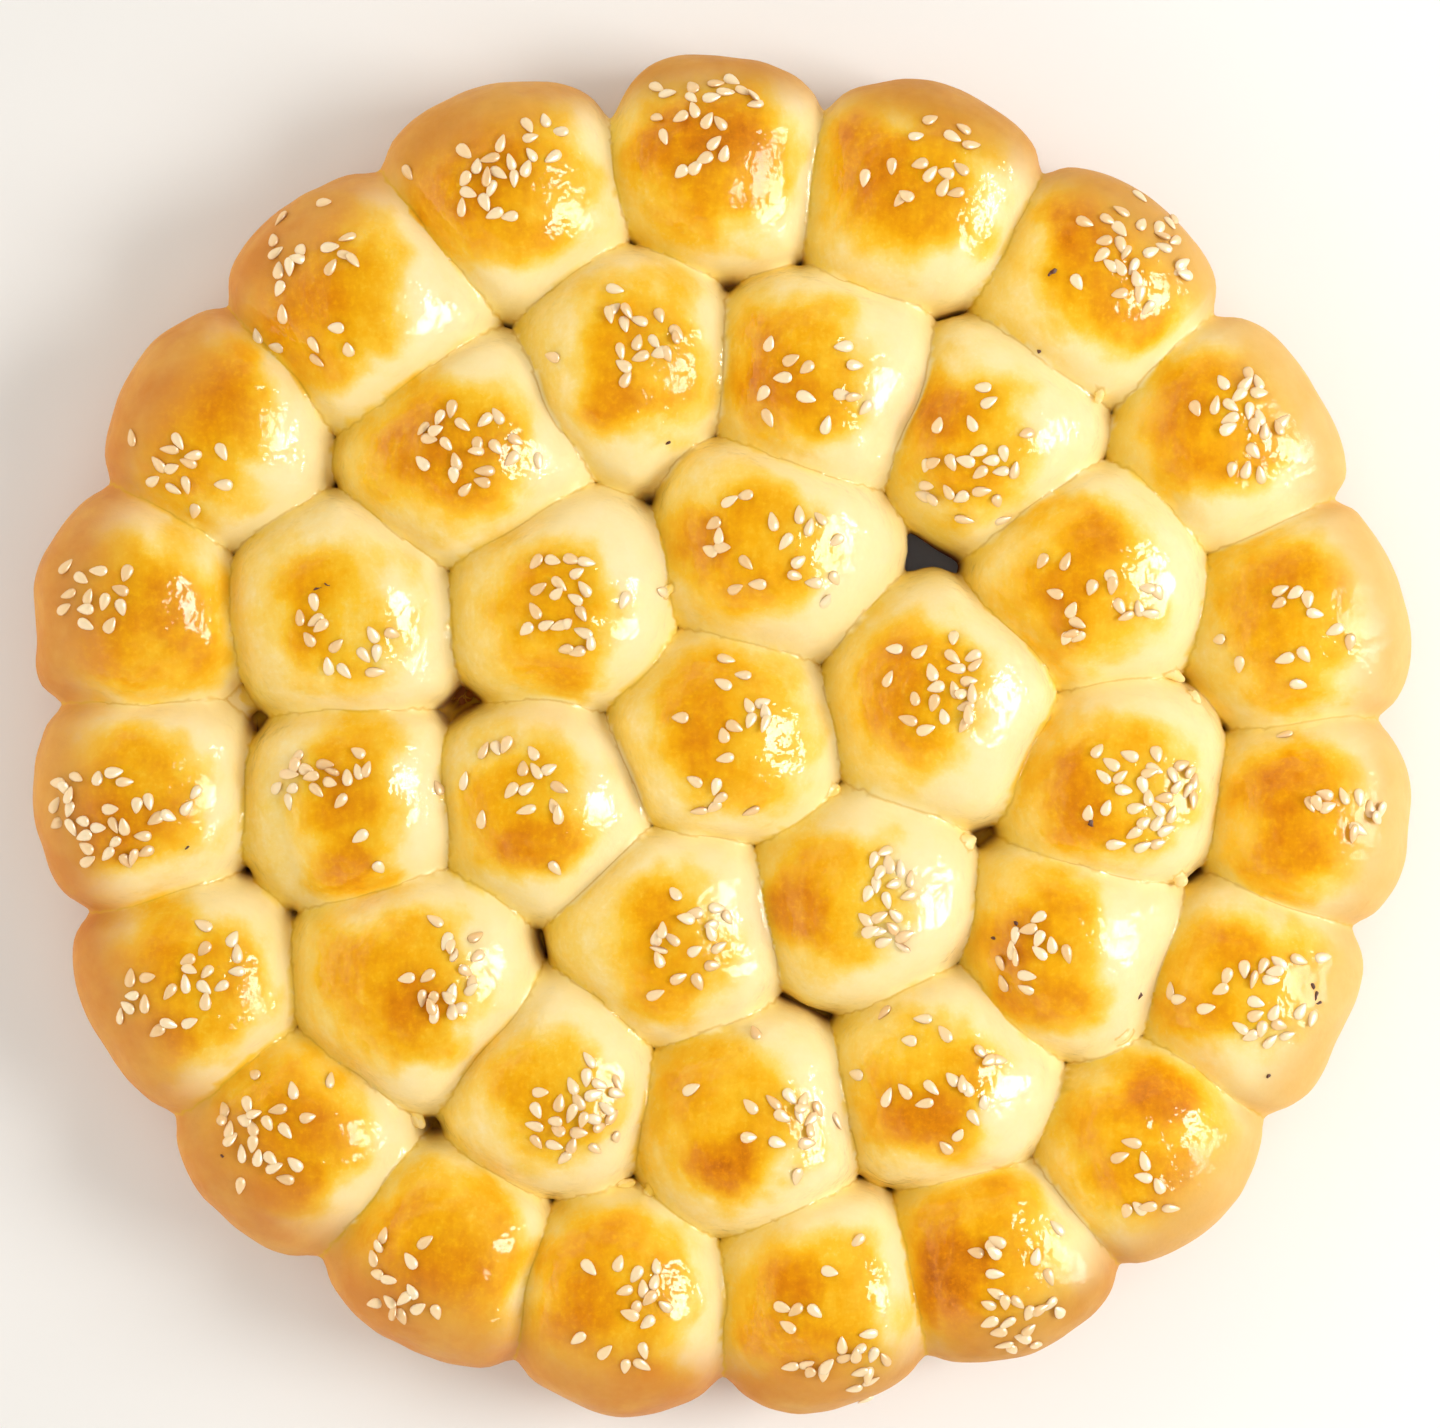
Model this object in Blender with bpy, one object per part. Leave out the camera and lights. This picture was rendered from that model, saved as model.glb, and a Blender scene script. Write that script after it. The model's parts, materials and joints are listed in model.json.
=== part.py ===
"""A pull-apart bread: 39 small soft rolls baked side by side in a round pan, with sesame on their tops.

Each roll is a ball of dough that rose until it met the rolls round it and the wall of the pan. So its
outline seen from above is worked out from where those stand, and from the side it is a low dome over a
fuller lower half. The rolls hold together where they pressed into each other: the bread is one piece.

Metres, +Z up. The origin is the middle of the flat underside, and +Y is the top of the bread as it is shown.
"""

import math
import random

import bmesh
import bpy
from mathutils import Matrix, Vector
from mathutils.bvhtree import BVHTree

MM = 0.001

# The round pan whose wall stopped the outer rolls
PAN_RADIUS = 125.5 * MM

# A roll of the usual size: its height, the level where it is widest, and how it is rounded above and below
USUAL_SIZE = 19.5 * MM
USUAL_HEIGHT = 34 * MM
WIDEST_LEVEL = 15 * MM
DOME_FULLNESS = 2.3
UNDERSIDE_FULLNESS = 4
UNDERSIDE_DEPTH = 5 * MM

# How the rolls press on each other: how near a neighbour is, how far each roll pushes past the face they
# share, how much a roll grows where nothing stops it, and how tightly its outline turns at each limit
NEIGHBOUR_DISTANCE = 62 * MM
LEAST_SLOPE = 0.02
PRESSED_IN = 1.2 * MM
FREE_GROWTH = 1.22
CORNER_SHARPNESS = 22
FREE_SHARPNESS = 12
WALL_SHARPNESS = 5

# The foot: the layer along the pan's floor where the rolls' undersides ran together. It has one hole, where
# four rolls left a gap
FOOT_RADIUS = 107 * MM
FOOT_HEIGHT = 6 * MM
FOOT_SIDES = 48
GAP_MIDDLE = (38.5 * MM, 33.5 * MM)
GAP_LENGTH = 26 * MM
GAP_WIDTH = 17 * MM
GAP_TURN = math.radians(-20)
GAP_SIDES = 12

# Sesame: a seed's length, width, thickness and how much its thin end narrows, how far its middle is under
# the crust, how many seeds lie on a roll, in a patch how wide, and how far each strays
SEED_LENGTH = 3.5 * MM
SEED_WIDTH = 2.4 * MM
SEED_THICKNESS = 1.6 * MM
SEED_TAPER = 0.4
SEED_SUNK = 0.15 * MM
SEEDS_PER_ROLL = 5
SEED_PATCH_RADIUS = 6.5 * MM
SEED_STRAY = 0.6 * MM
GOLDEN_ANGLE = math.pi * (3 - math.sqrt(5))

# The mesh
COLUMNS = 16
LEVELS = 8
SEED_COLUMNS = 6
SEED_LEVELS = 2
CORNER_SEARCH_STEPS = 180
SMOOTH_UNDER_ANGLE = math.radians(45)

CRUST_COLOUR = (0.72, 0.35, 0.05, 1)
CRUST_ROUGHNESS = 0.35
SESAME_COLOUR = (0.88, 0.78, 0.55, 1)
SESAME_ROUGHNESS = 0.5

# Every roll, in millimetres: where its ball of dough was set (x, y), its size, and how far its patch of
# sesame lies from its middle (x, y). Each ring goes clockwise from the upper left.
OUTER_RING = (
    (-37.5, 95.5, 20.5, 1, 3),
    (0.5, 101.5, 18.5, -3, 5),
    (36.0, 95.0, 20.0, 0, 6),
    (66.5, 79.5, 19.5, 7, 3),
    (91.0, 52.0, 19.5, 0, 1),
    (104.0, 20.5, 20.0, -4, -3),
    (105.5, -14.5, 19.0, 4, 1),
    (94.5, -46.0, 20.0, -2, 1),
    (76.5, -73.0, 19.5, -2, -3),
    (50.5, -93.0, 19.0, 1, -6),
    (18.5, -100.5, 19.5, 2, -8),
    (-17.0, -101.0, 19.5, 3, 1),
    (-49.0, -93.0, 19.0, -5, -2),
    (-74.5, -71.5, 19.5, -3, 4),
    (-94.0, -45.5, 19.5, 3, 4),
    (-102.5, -11.5, 19.0, -4, -4),
    (-104.0, 23.0, 19.5, -4, 1),
    (-89.0, 54.0, 19.5, -4, -8),
    (-62.5, 77.0, 22.0, -9, 3),
)
MIDDLE_RING = (
    (-45.0, 50.5, 21.5, 2, -1),
    (-16.5, 65.5, 20.0, 3, 3),
    (19.5, 63.0, 20.5, -2, -1),
    (49.5, 53.5, 19.5, -6, -6),
    (67.5, 27.5, 20.5, 0, -4),
    (71.0, -8.5, 19.5, 4, -2),
    (63.0, -37.0, 20.0, -8, -1),
    (40.5, -62.0, 20.0, -5, 2),
    (5.0, -69.5, 20.0, 8, 0),
    (-29.5, -62.5, 19.0, 5, -3),
    (-54.0, -44.5, 21.5, 6, 5),
    (-65.0, -13.0, 19.0, -2, 4),
    (-66.5, 22.0, 20.0, 2, -6),
)
INNER_RING = (
    (-27.0, 24.5, 20.0, 0, -2),
    (10.0, 33.5, 20.5, 0, 0),
    (39.5, 5.5, 20.5, -1, 4),
    (26.0, -29.0, 19.5, 4, 0),
    (-8.0, -36.0, 19.5, 3, 0),
    (-31.0, -13.5, 19.0, -3, 6),
)
CENTRE_ROLL = ((2.5, 0.0, 19.5, -1, 0),)


def soft_minimum(distances, sharpness):
    """The smallest of the distances, turning from one to the next in a curve that is tighter when sharper."""
    return sum(distance**-sharpness for distance in distances) ** (-1 / sharpness)


def shared_faces(middle, size, others):
    """The flat faces between this roll and the rolls beside it, as (direction, distance from its middle).

    A face stands nearer the smaller roll, where circles of the two rolls' sizes would cross.
    """
    faces = []
    for other_middle, other_size in others:
        way = other_middle - middle
        if way.length < NEIGHBOUR_DISTANCE:
            face = (way.length**2 + size**2 - other_size**2) / (2 * way.length)
            faces.append((way.normalized(), face + PRESSED_IN))
    return faces


def distance_to_wall(middle, direction):
    """How far the pan's wall is from the roll's middle in this direction."""
    along = middle.dot(direction)
    return -along + math.sqrt(along**2 + PAN_RADIUS**2 - middle.length_squared)


def reach(middle, size, faces, angle):
    """How far the roll goes from its middle in one direction, at its widest level."""
    direction = Vector((math.cos(angle), math.sin(angle)))
    slopes = ((face.dot(direction), distance) for face, distance in faces)
    touching = [distance / slope for slope, distance in slopes if slope > LEAST_SLOPE]
    stops = [size * FREE_GROWTH]
    if touching:
        stops.append(soft_minimum(touching, CORNER_SHARPNESS))
    risen = soft_minimum(stops, FREE_SHARPNESS)
    return soft_minimum((risen, distance_to_wall(middle, direction)), WALL_SHARPNESS)


def column_angles(middle, size, faces):
    """The directions of the mesh's columns: evenly spread, but the nearest one is turned onto each corner."""
    angles = [math.tau * step / CORNER_SEARCH_STEPS for step in range(CORNER_SEARCH_STEPS)]
    reaches = [reach(middle, size, faces, angle) for angle in angles]
    columns = [math.tau * column / COLUMNS for column in range(COLUMNS)]
    for step, angle in enumerate(angles):
        before, after = reaches[step - 1], reaches[(step + 1) % CORNER_SEARCH_STEPS]
        if reaches[step] > before and reaches[step] >= after:
            nearest = round(angle / math.tau * COLUMNS)
            columns[nearest % COLUMNS] = angle - (math.tau if nearest == COLUMNS else 0)
    return columns


def rounded(sine, cosine, fullness):
    """Distances from the axis and the widest level, each 0 to 1, on a rounding fuller than a circle."""
    return sine ** (2 / fullness), cosine ** (2 / fullness)


def shape_roll(ball, middle, size, faces):
    """Moves the points of a ball of radius 1 onto the roll, whose middle stands on the ball's axis."""
    columns = column_angles(middle, size, faces)
    reaches = [reach(middle, size, faces, angle) for angle in columns]
    height = USUAL_HEIGHT * math.sqrt(size / USUAL_SIZE)
    for vertex in ball.verts:
        column = round(math.atan2(vertex.co.y, vertex.co.x) / math.tau * COLUMNS) % COLUMNS
        sine = min(1, math.hypot(vertex.co.x, vertex.co.y))
        if vertex.co.z >= 0:
            out, up = rounded(sine, vertex.co.z, DOME_FULLNESS)
            level = WIDEST_LEVEL + up * (height - WIDEST_LEVEL)
        else:
            out, down = rounded(sine, -vertex.co.z, UNDERSIDE_FULLNESS)
            level = WIDEST_LEVEL - down * (WIDEST_LEVEL + UNDERSIDE_DEPTH)
        far = out * reaches[column]
        vertex.co = (far * math.cos(columns[column]), far * math.sin(columns[column]), level)


def add_object(name, mesh, collection, material):
    """A new object with this mesh, material and name in the collection."""
    mesh.materials.append(material)
    piece = bpy.data.objects.new(name, mesh)
    collection.objects.link(piece)
    return piece


def mesh_from(form, name):
    """A named mesh of the form, which is then freed."""
    mesh = bpy.data.meshes.new(name)
    form.to_mesh(mesh)
    form.free()
    return mesh


def add_rolls(rolls, collection, material):
    """One object for each roll, standing where its ball of dough was set."""
    balls = [(Vector(roll[:2]) * MM, roll[2] * MM) for roll in rolls]
    for number, (middle, size) in enumerate(balls):
        others = [ball for ball in balls if ball[0] is not middle]
        form = bmesh.new()
        bmesh.ops.create_uvsphere(form, u_segments=COLUMNS, v_segments=LEVELS, radius=1)
        shape_roll(form, middle, size, shared_faces(middle, size, others))
        roll = add_object(f"roll_{number}", mesh_from(form, f"roll_{number}"), collection, material)
        roll.location = (middle.x, middle.y, 0)


def surface_of(objects):
    """The outer faces of the objects where they stand, for finding the crust under a seed."""
    points, faces = [], []
    for piece in objects:
        first = len(points)
        points += [piece.location + vertex.co for vertex in piece.data.vertices]
        faces += [[first + index for index in face.vertices] for face in piece.data.polygons]
    return BVHTree.FromPolygons(points, faces)


def seed_mesh():
    """A flat teardrop, one end narrower, as long as a sesame seed along X."""
    form = bmesh.new()
    bmesh.ops.create_uvsphere(form, u_segments=SEED_COLUMNS, v_segments=SEED_LEVELS, radius=1)
    for vertex in form.verts:
        narrowed = 1 - SEED_TAPER * max(0, vertex.co.x)
        across = vertex.co.y * narrowed * SEED_WIDTH
        vertex.co = Vector((vertex.co.x * SEED_LENGTH, across, vertex.co.z * SEED_THICKNESS)) / 2
    return mesh_from(form, "seed")


def patch_points(roll, draw):
    """Where the seeds of one roll lie: spread over its patch as in a flower head, each a little off."""
    middle = (Vector(roll[:2]) + Vector(roll[3:])) * MM
    start = draw.uniform(0, math.tau)
    for number in range(SEEDS_PER_ROLL):
        angle = start + number * GOLDEN_ANGLE
        far = SEED_PATCH_RADIUS * math.sqrt((number + 0.5) / SEEDS_PER_ROLL)
        stray = Vector((draw.uniform(-1, 1), draw.uniform(-1, 1))) * SEED_STRAY
        yield middle + Vector((math.cos(angle), math.sin(angle))) * far + stray


def add_seeds(rolls, collection, material):
    """Sesame lying on the crust, each seed flat on it, part sunk, and turned at random."""
    crust = surface_of(collection.objects)
    draw = random.Random(39)
    mesh = seed_mesh()
    mesh.materials.append(material)
    for roll in rolls:
        for point in patch_points(roll, draw):
            spot, normal, _, _ = crust.ray_cast(point.to_3d() + Vector((0, 0, 1)), Vector((0, 0, -1)))
            lean = normal.to_track_quat("Z", "Y").to_matrix().to_4x4()
            turn = Matrix.Rotation(draw.uniform(0, math.tau), 4, "Z")
            seed = bpy.data.objects.new("seed", mesh)
            seed.matrix_world = Matrix.Translation(spot - normal * SEED_SUNK) @ lean @ turn
            collection.objects.link(seed)


def add_cutter(name, form, location, collection):
    """A helper that cuts other pieces and is never part of the bread."""
    cutter = bpy.data.objects.new(name, mesh_from(form, name))
    cutter.location = location
    cutter.hide_render = True
    cutter.display_type = "WIRE"
    collection.objects.link(cutter)
    return cutter


def add_table_cutter(collection):
    """A block whose top is the table: it cuts the underside of the bread flat, as the pan's floor left it."""
    depth = 4 * UNDERSIDE_DEPTH
    form = bmesh.new()
    bmesh.ops.create_cube(form, size=1)
    bmesh.ops.scale(form, verts=form.verts, vec=(3 * PAN_RADIUS, 3 * PAN_RADIUS, depth))
    return add_cutter("table_cutter", form, (0, 0, -depth / 2), collection)


def disc(radius, sides, depth):
    """A flat round block about the origin."""
    form = bmesh.new()
    bmesh.ops.create_cone(form, cap_ends=True, segments=sides, radius1=radius, radius2=radius, depth=depth)
    return form


def add_gap_cutter(collection):
    """An upright oval block, wider than the gap between the four rolls, which then give it their sides."""
    form = disc(0.5, GAP_SIDES, 4 * FOOT_HEIGHT)
    bmesh.ops.scale(form, verts=form.verts, vec=(GAP_LENGTH, GAP_WIDTH, 1))
    bmesh.ops.rotate(form, verts=form.verts, matrix=Matrix.Rotation(GAP_TURN, 3, "Z"))
    return add_cutter("gap_cutter", form, (*GAP_MIDDLE, 0), collection)


def cut(piece, cutter):
    """Takes the cutter's shape out of the piece."""
    modifier = piece.modifiers.new(cutter.name, "BOOLEAN")
    modifier.operation = "DIFFERENCE"
    modifier.object = cutter


def add_foot(collection, material):
    """The layer of dough between the rolls' undersides, as deep as theirs. It becomes the whole bread."""
    form = disc(FOOT_RADIUS, FOOT_SIDES, FOOT_HEIGHT + UNDERSIDE_DEPTH)
    bmesh.ops.translate(form, verts=form.verts, vec=(0, 0, (FOOT_HEIGHT - UNDERSIDE_DEPTH) / 2))
    return add_object("bread", mesh_from(form, "bread"), collection, material)


def apply_modifiers(piece):
    """Gives the object the mesh that its modifiers make, and drops them."""
    graph = bpy.context.evaluated_depsgraph_get()
    mesh = bpy.data.meshes.new_from_object(piece.evaluated_get(graph))
    piece.modifiers.clear()
    piece.data = mesh


def remove_collection(collection):
    """Removes the collection with all the objects in it."""
    for piece in list(collection.objects):
        bpy.data.objects.remove(piece)
    bpy.data.collections.remove(collection)


def fuse(bread, pieces):
    """Joins the collection's pieces to the bread, where it overlaps them."""
    union = bread.modifiers.new("joined", "BOOLEAN")
    union.operation = "UNION"
    union.operand_type = "COLLECTION"
    union.collection = pieces


def drop_loose_shells(mesh):
    """Keeps the widest shell only, which fills any hollow that the union sealed and drops any scrap."""
    form = bmesh.new()
    form.from_mesh(mesh)
    waiting = set(form.verts)
    shells = []
    while waiting:
        shell, edge_of_search = set(), [waiting.pop()]
        while edge_of_search:
            vertex = edge_of_search.pop()
            shell.add(vertex)
            linked = {edge.other_vert(vertex) for edge in vertex.link_edges} & waiting
            waiting -= linked
            edge_of_search += linked
        shells.append(shell)
    shells.sort(key=len)
    for shell in shells[:-1]:
        bmesh.ops.delete(form, geom=list(shell), context="VERTS")
    form.to_mesh(mesh)
    form.free()


def make_material(name, colour, roughness):
    """A plain surface of one colour."""
    material = bpy.data.materials.new(name)
    material.use_nodes = True
    shader = material.node_tree.nodes["Principled BSDF"]
    shader.inputs["Base Color"].default_value = colour
    shader.inputs["Roughness"].default_value = roughness
    shader.inputs["Metallic"].default_value = 0
    return material


def new_collection(name):
    """A collection of this name in the scene."""
    collection = bpy.data.collections.new(name)
    bpy.context.scene.collection.children.link(collection)
    return collection


def main():
    for old in list(bpy.data.objects):
        bpy.data.objects.remove(old)
    rolls = OUTER_RING + MIDDLE_RING + INNER_RING + CENTRE_ROLL
    bread_collection = new_collection("pull_apart_bread")
    cutters = new_collection("cutters")
    pieces = new_collection("rolls_and_seeds")
    crust = make_material("golden crust", CRUST_COLOUR, CRUST_ROUGHNESS)
    sesame = make_material("sesame", SESAME_COLOUR, SESAME_ROUGHNESS)

    add_rolls(rolls, pieces, crust)
    add_seeds(rolls, pieces, sesame)
    bread = add_foot(bread_collection, crust)
    cut(bread, add_gap_cutter(cutters))
    fuse(bread, pieces)
    cut(bread, add_table_cutter(cutters))
    apply_modifiers(bread)
    remove_collection(pieces)
    remove_collection(cutters)
    drop_loose_shells(bread.data)
    bread.data.shade_smooth()
    bread.data.set_sharp_from_angle(angle=SMOOTH_UNDER_ANGLE)


main()
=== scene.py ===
import json
import math

import bmesh
import bpy
import numpy as np
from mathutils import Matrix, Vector
from mathutils.bvhtree import BVHTree

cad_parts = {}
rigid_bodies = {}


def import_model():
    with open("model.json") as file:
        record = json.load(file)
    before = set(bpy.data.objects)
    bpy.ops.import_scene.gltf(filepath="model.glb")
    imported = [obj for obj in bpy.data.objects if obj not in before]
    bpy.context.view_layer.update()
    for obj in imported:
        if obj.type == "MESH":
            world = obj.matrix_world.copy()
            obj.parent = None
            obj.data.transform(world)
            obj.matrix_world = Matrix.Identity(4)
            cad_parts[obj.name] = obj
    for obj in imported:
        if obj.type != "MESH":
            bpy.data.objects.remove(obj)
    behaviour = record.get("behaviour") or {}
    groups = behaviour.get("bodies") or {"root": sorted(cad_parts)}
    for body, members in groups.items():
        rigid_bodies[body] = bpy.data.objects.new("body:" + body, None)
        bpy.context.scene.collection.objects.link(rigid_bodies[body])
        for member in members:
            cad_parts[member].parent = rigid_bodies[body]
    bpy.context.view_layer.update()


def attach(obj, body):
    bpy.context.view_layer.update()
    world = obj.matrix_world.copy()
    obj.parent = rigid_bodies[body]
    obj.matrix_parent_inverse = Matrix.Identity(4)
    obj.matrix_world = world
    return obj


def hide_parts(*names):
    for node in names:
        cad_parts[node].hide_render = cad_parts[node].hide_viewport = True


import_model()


# The rolls. Balls of soft white dough were set in rings in a round pan. Each rose until it met the rolls
# round it and the pan's wall, so its outline comes from where those stand, and they baked into one piece.
# All sizes are in millimetres, and the meshes are in metres.
MM = 0.001
PAN_RADIUS = 125.5
USUAL_SIZE = 19.5
USUAL_HEIGHT = 34
WIDEST_LEVEL = 15
DOME_FULLNESS = 2.2
UNDERSIDE_FULLNESS = 4
UNDERSIDE_DEPTH = 5
NEIGHBOUR_DISTANCE = 62
LEAST_SLOPE = 0.02
OUT_OF_REACH = 1000
PRESSED_IN = 1.9
FREE_GROWTH = 1.22
CORNER_SHARPNESS = 9
FREE_SHARPNESS = 12
WALL_SHARPNESS = 5

# Where each ball of dough was set (x, y) and its size. Each ring goes clockwise from the upper left.
OUTER_RING = (
    (-37.5, 95.5, 20.5), (0.5, 101.5, 18.5), (36, 95, 20), (66.5, 79.5, 19.5), (91, 52, 19.5),
    (104, 20.5, 20), (105.5, -14.5, 19), (94.5, -46, 20), (76.5, -73, 19.5), (50.5, -93, 19),
    (18.5, -100.5, 19.5), (-17, -101, 19.5), (-49, -93, 19), (-74.5, -71.5, 19.5), (-94, -45.5, 19.5),
    (-102.5, -11.5, 19), (-104, 23, 19.5), (-89, 54, 19.5), (-62.5, 77, 22),
)
MIDDLE_RING = (
    (-45, 50.5, 21.5), (-16.5, 65.5, 20), (19.5, 63, 20.5), (49.5, 53.5, 19.5), (67.5, 27.5, 20.5),
    (71, -8.5, 19.5), (63, -37, 20), (40.5, -62, 20), (5, -69.5, 20), (-29.5, -62.5, 19),
    (-54, -44.5, 21.5), (-65, -13, 19), (-66.5, 22, 20),
)
INNER_RING = (
    (-27, 24.5, 20), (10, 33.5, 20.5), (39.5, 5.5, 20.5), (26, -29, 19.5), (-8, -36, 19.5), (-31, -13.5, 19),
)
CENTRE_ROLL = ((2.5, 0, 19.5),)
BALLS = np.array(OUTER_RING + MIDDLE_RING + INNER_RING + CENTRE_ROLL, float)
MIDDLES, SIZES = BALLS[:, :2], BALLS[:, 2]

ROLL_COLUMNS = 96
ROLL_LEVELS = 36
HEIGHT_STRAY = 1.3
LEAN = 1.6
LEAN_STRAY = 0.6
LEAN_POWER = 1.5
ROUND_INSIDE = 0.35

# Waves in the skin and in the creases, as the longest and the shortest wave and the seed of their draws.
LUMP_HEIGHT = 0.12
FINE_LUMP_SHARE = 0.45
BROAD_LUMPS = (24, 12, 5)
FINE_LUMPS = (9, 5, 6)
CREASE_WAVE = 0.5
CREASE_FIELDS = ((40, 18, 71), (40, 18, 72))


def soft_minimum(distances, sharpness, axis=0):
    """The smallest of the distances: the sum of their powers to minus the sharpness, and the root of that."""
    return (distances**-sharpness).sum(axis=axis) ** (-1 / sharpness)


def reaches_of(angles):
    """How far each roll goes from its middle in each direction, at its widest level: the soft minimum of its
    free growth, the flat faces that it shares with its neighbours, and the pan's wall. Rows are rolls."""
    ways = MIDDLES[None] - MIDDLES[:, None]
    far = np.linalg.norm(ways, axis=2) + OUT_OF_REACH * np.eye(len(BALLS))
    face = (far**2 + SIZES[:, None] ** 2 - SIZES[None] ** 2) / (2 * far) + PRESSED_IN
    directions = np.stack([np.cos(angles), np.sin(angles)])
    slopes = (ways / far[..., None]) @ directions
    touching = (slopes > LEAST_SLOPE) & (far < NEIGHBOUR_DISTANCE)[..., None]
    stops = np.where(touching, face[..., None] / np.where(touching, slopes, 1), OUT_OF_REACH)
    risen = soft_minimum(stops, CORNER_SHARPNESS, axis=1)
    grown = np.broadcast_to(SIZES[:, None] * FREE_GROWTH, risen.shape)
    risen = soft_minimum(np.stack([grown, risen]), FREE_SHARPNESS)
    along = MIDDLES @ directions
    wall = -along + np.sqrt(along**2 + PAN_RADIUS**2 - (MIDDLES**2).sum(axis=1)[:, None])
    return soft_minimum(np.stack([risen, wall]), WALL_SHARPNESS)


def waves(points, longest, shortest, seed, count=28):
    """Smooth lumps of about -1 to 1: the sum of sine waves that run in random directions, their lengths drawn
    between the two given and their starts at random. Two-dimensional points get two-dimensional waves."""
    draw = np.random.default_rng(seed)
    ways = draw.normal(size=(count, points.shape[1]))
    ways /= np.linalg.norm(ways, axis=1)[:, None]
    ways *= math.tau / draw.uniform(shortest, longest, count)[:, None]
    starts = draw.uniform(0, math.tau, count)
    return np.sin(points @ ways.T + starts).sum(axis=1) * math.sqrt(2 / count)


def crease_shift(points):
    """How far the dough slid sideways as it rose: two fields of long waves, one for each direction, that move
    all the rolls alike, so that the creases between them wander."""
    return CREASE_WAVE * np.stack([waves(points[:, :2], *field) for field in CREASE_FIELDS], axis=1)


def eased(value, start, end):
    """0 before the start, 1 after the end, and an S-curve between them."""
    share = np.clip((value - start) / (end - start), 0, 1)
    return share * share * (3 - 2 * share)


def roll_points(number, reach, draw):
    """The rings of points of one roll from its top to its bottom: an outline swept over a polar angle, with
    the distance from the axis and the height each a power of its sine and cosine. The outline turns into a
    circle towards the top, the top leans a little, and lumps push the skin out or in."""
    middle, size = MIDDLES[number], SIZES[number]
    height = USUAL_HEIGHT * math.sqrt(size / USUAL_SIZE) + draw.uniform(-1, 1) * HEIGHT_STRAY
    lean = draw.normal(size=2) * LEAN * LEAN_STRAY
    polar = np.pi * (np.arange(1, ROLL_LEVELS) / ROLL_LEVELS)
    sine, cosine = np.sin(polar), np.cos(polar)
    fullness = np.where(cosine >= 0, DOME_FULLNESS, UNDERSIDE_FULLNESS)
    out = sine ** (2 / fullness)
    up = np.sign(cosine) * np.abs(cosine) ** (2 / fullness)
    level = WIDEST_LEVEL + up * np.where(up >= 0, height - WIDEST_LEVEL, WIDEST_LEVEL + UNDERSIDE_DEPTH)
    own_shape = eased(out, ROUND_INSIDE, 1)[:, None]
    outline = reach[None] * own_shape + reach.mean() * (1 - own_shape)
    angles = np.arange(ROLL_COLUMNS) * math.tau / ROLL_COLUMNS
    far = out[:, None] * outline
    lifted = np.clip(up, 0, 1)[:, None] ** LEAN_POWER
    rings = np.stack([
        middle[0] + far * np.cos(angles) + lean[0] * lifted,
        middle[1] + far * np.sin(angles) + lean[1] * lifted,
        np.broadcast_to(level[:, None], far.shape),
    ], axis=2)
    top = np.array([[middle[0] + lean[0], middle[1] + lean[1], height]])
    bottom = np.array([[middle[0], middle[1], -UNDERSIDE_DEPTH]])
    points = np.concatenate([top, rings.reshape(-1, 3), bottom])
    outward = points - np.array([middle[0], middle[1], WIDEST_LEVEL])
    outward /= np.linalg.norm(outward, axis=1)[:, None]
    lumps = LUMP_HEIGHT * (waves(points, *BROAD_LUMPS) + FINE_LUMP_SHARE * waves(points, *FINE_LUMPS))
    points = points + outward * lumps[:, None]
    points[:, :2] += crease_shift(points)
    return points


def ring_faces(rings, columns):
    """The faces of a closed skin whose points are its top, rings of points and its bottom, all facing out."""
    ring = np.arange(rings - 1)[:, None] * columns + 1
    column = np.arange(columns)[None]
    beside = (column + 1) % columns
    quads = np.stack([ring + column, ring + columns + column, ring + columns + beside, ring + beside], axis=2)
    last = 1 + (rings - 1) * columns
    top = [(0, 1 + c, 1 + (c + 1) % columns) for c in range(columns)]
    bottom = [(last + columns, last + (c + 1) % columns, last + c) for c in range(columns)]
    return quads.reshape(-1, 4).tolist() + top + bottom


def new_object(name, points, faces, collection=bpy.context.scene.collection):
    """An object whose mesh has these points, given in millimetres, and these faces."""
    mesh = bpy.data.meshes.new(name)
    mesh.from_pydata((points * MM).tolist(), [], faces)
    piece = bpy.data.objects.new(name, mesh)
    collection.objects.link(piece)
    return piece


# The nubs. Dough that stuck to the next roll was drawn out into lumps and threads as both rose. Each is given
# by its middle (across and down in the picture, and height), its half length, its half width and its turn.
PIXEL = 0.18
PICTURE_MIDDLE = (717, 735)
PICTURE_HEIGHT = 600
TOP_LEVEL = 33
NUB_COLUMNS = 16
NUB_LEVELS = 12
NUBS = (
    (1181, 880, 25, 1.3, 1.2, 0), (419, 1120, 21, 2.3, 1.1, 120), (1176, 676, 22.8, 2.8, 0.9, -25),
    (1196, 697, 23, 2.1, 0.8, -60), (627, 1183, 21.8, 2.2, 0.9, 10), (650, 1190, 22.5, 1.3, 0.8, 80),
    (667, 591, 26.5, 1.9, 0.8, 55), (963, 843, 22.5, 2.8, 1.7, 20), (1122, 1036, 25, 2.5, 0.9, 35),
    (368, 1176, 26.5, 2.7, 1, 40), (834, 790, 22, 1.8, 0.8, 30), (1041, 350, 25.5, 0.9, 0.8, 0),
    (460, 692, 10.8, 2.2, 0.8, 50), (466, 697, 10.4, 1.8, 0.8, -30), (462, 701, 10.6, 1.4, 0.8, 100),
    (471, 694, 11, 1.2, 0.8, 20), (1100, 396, 24.8, 1.4, 0.8, 70),
    (240, 698, 15, 4.5, 3, -50),
)


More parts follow.
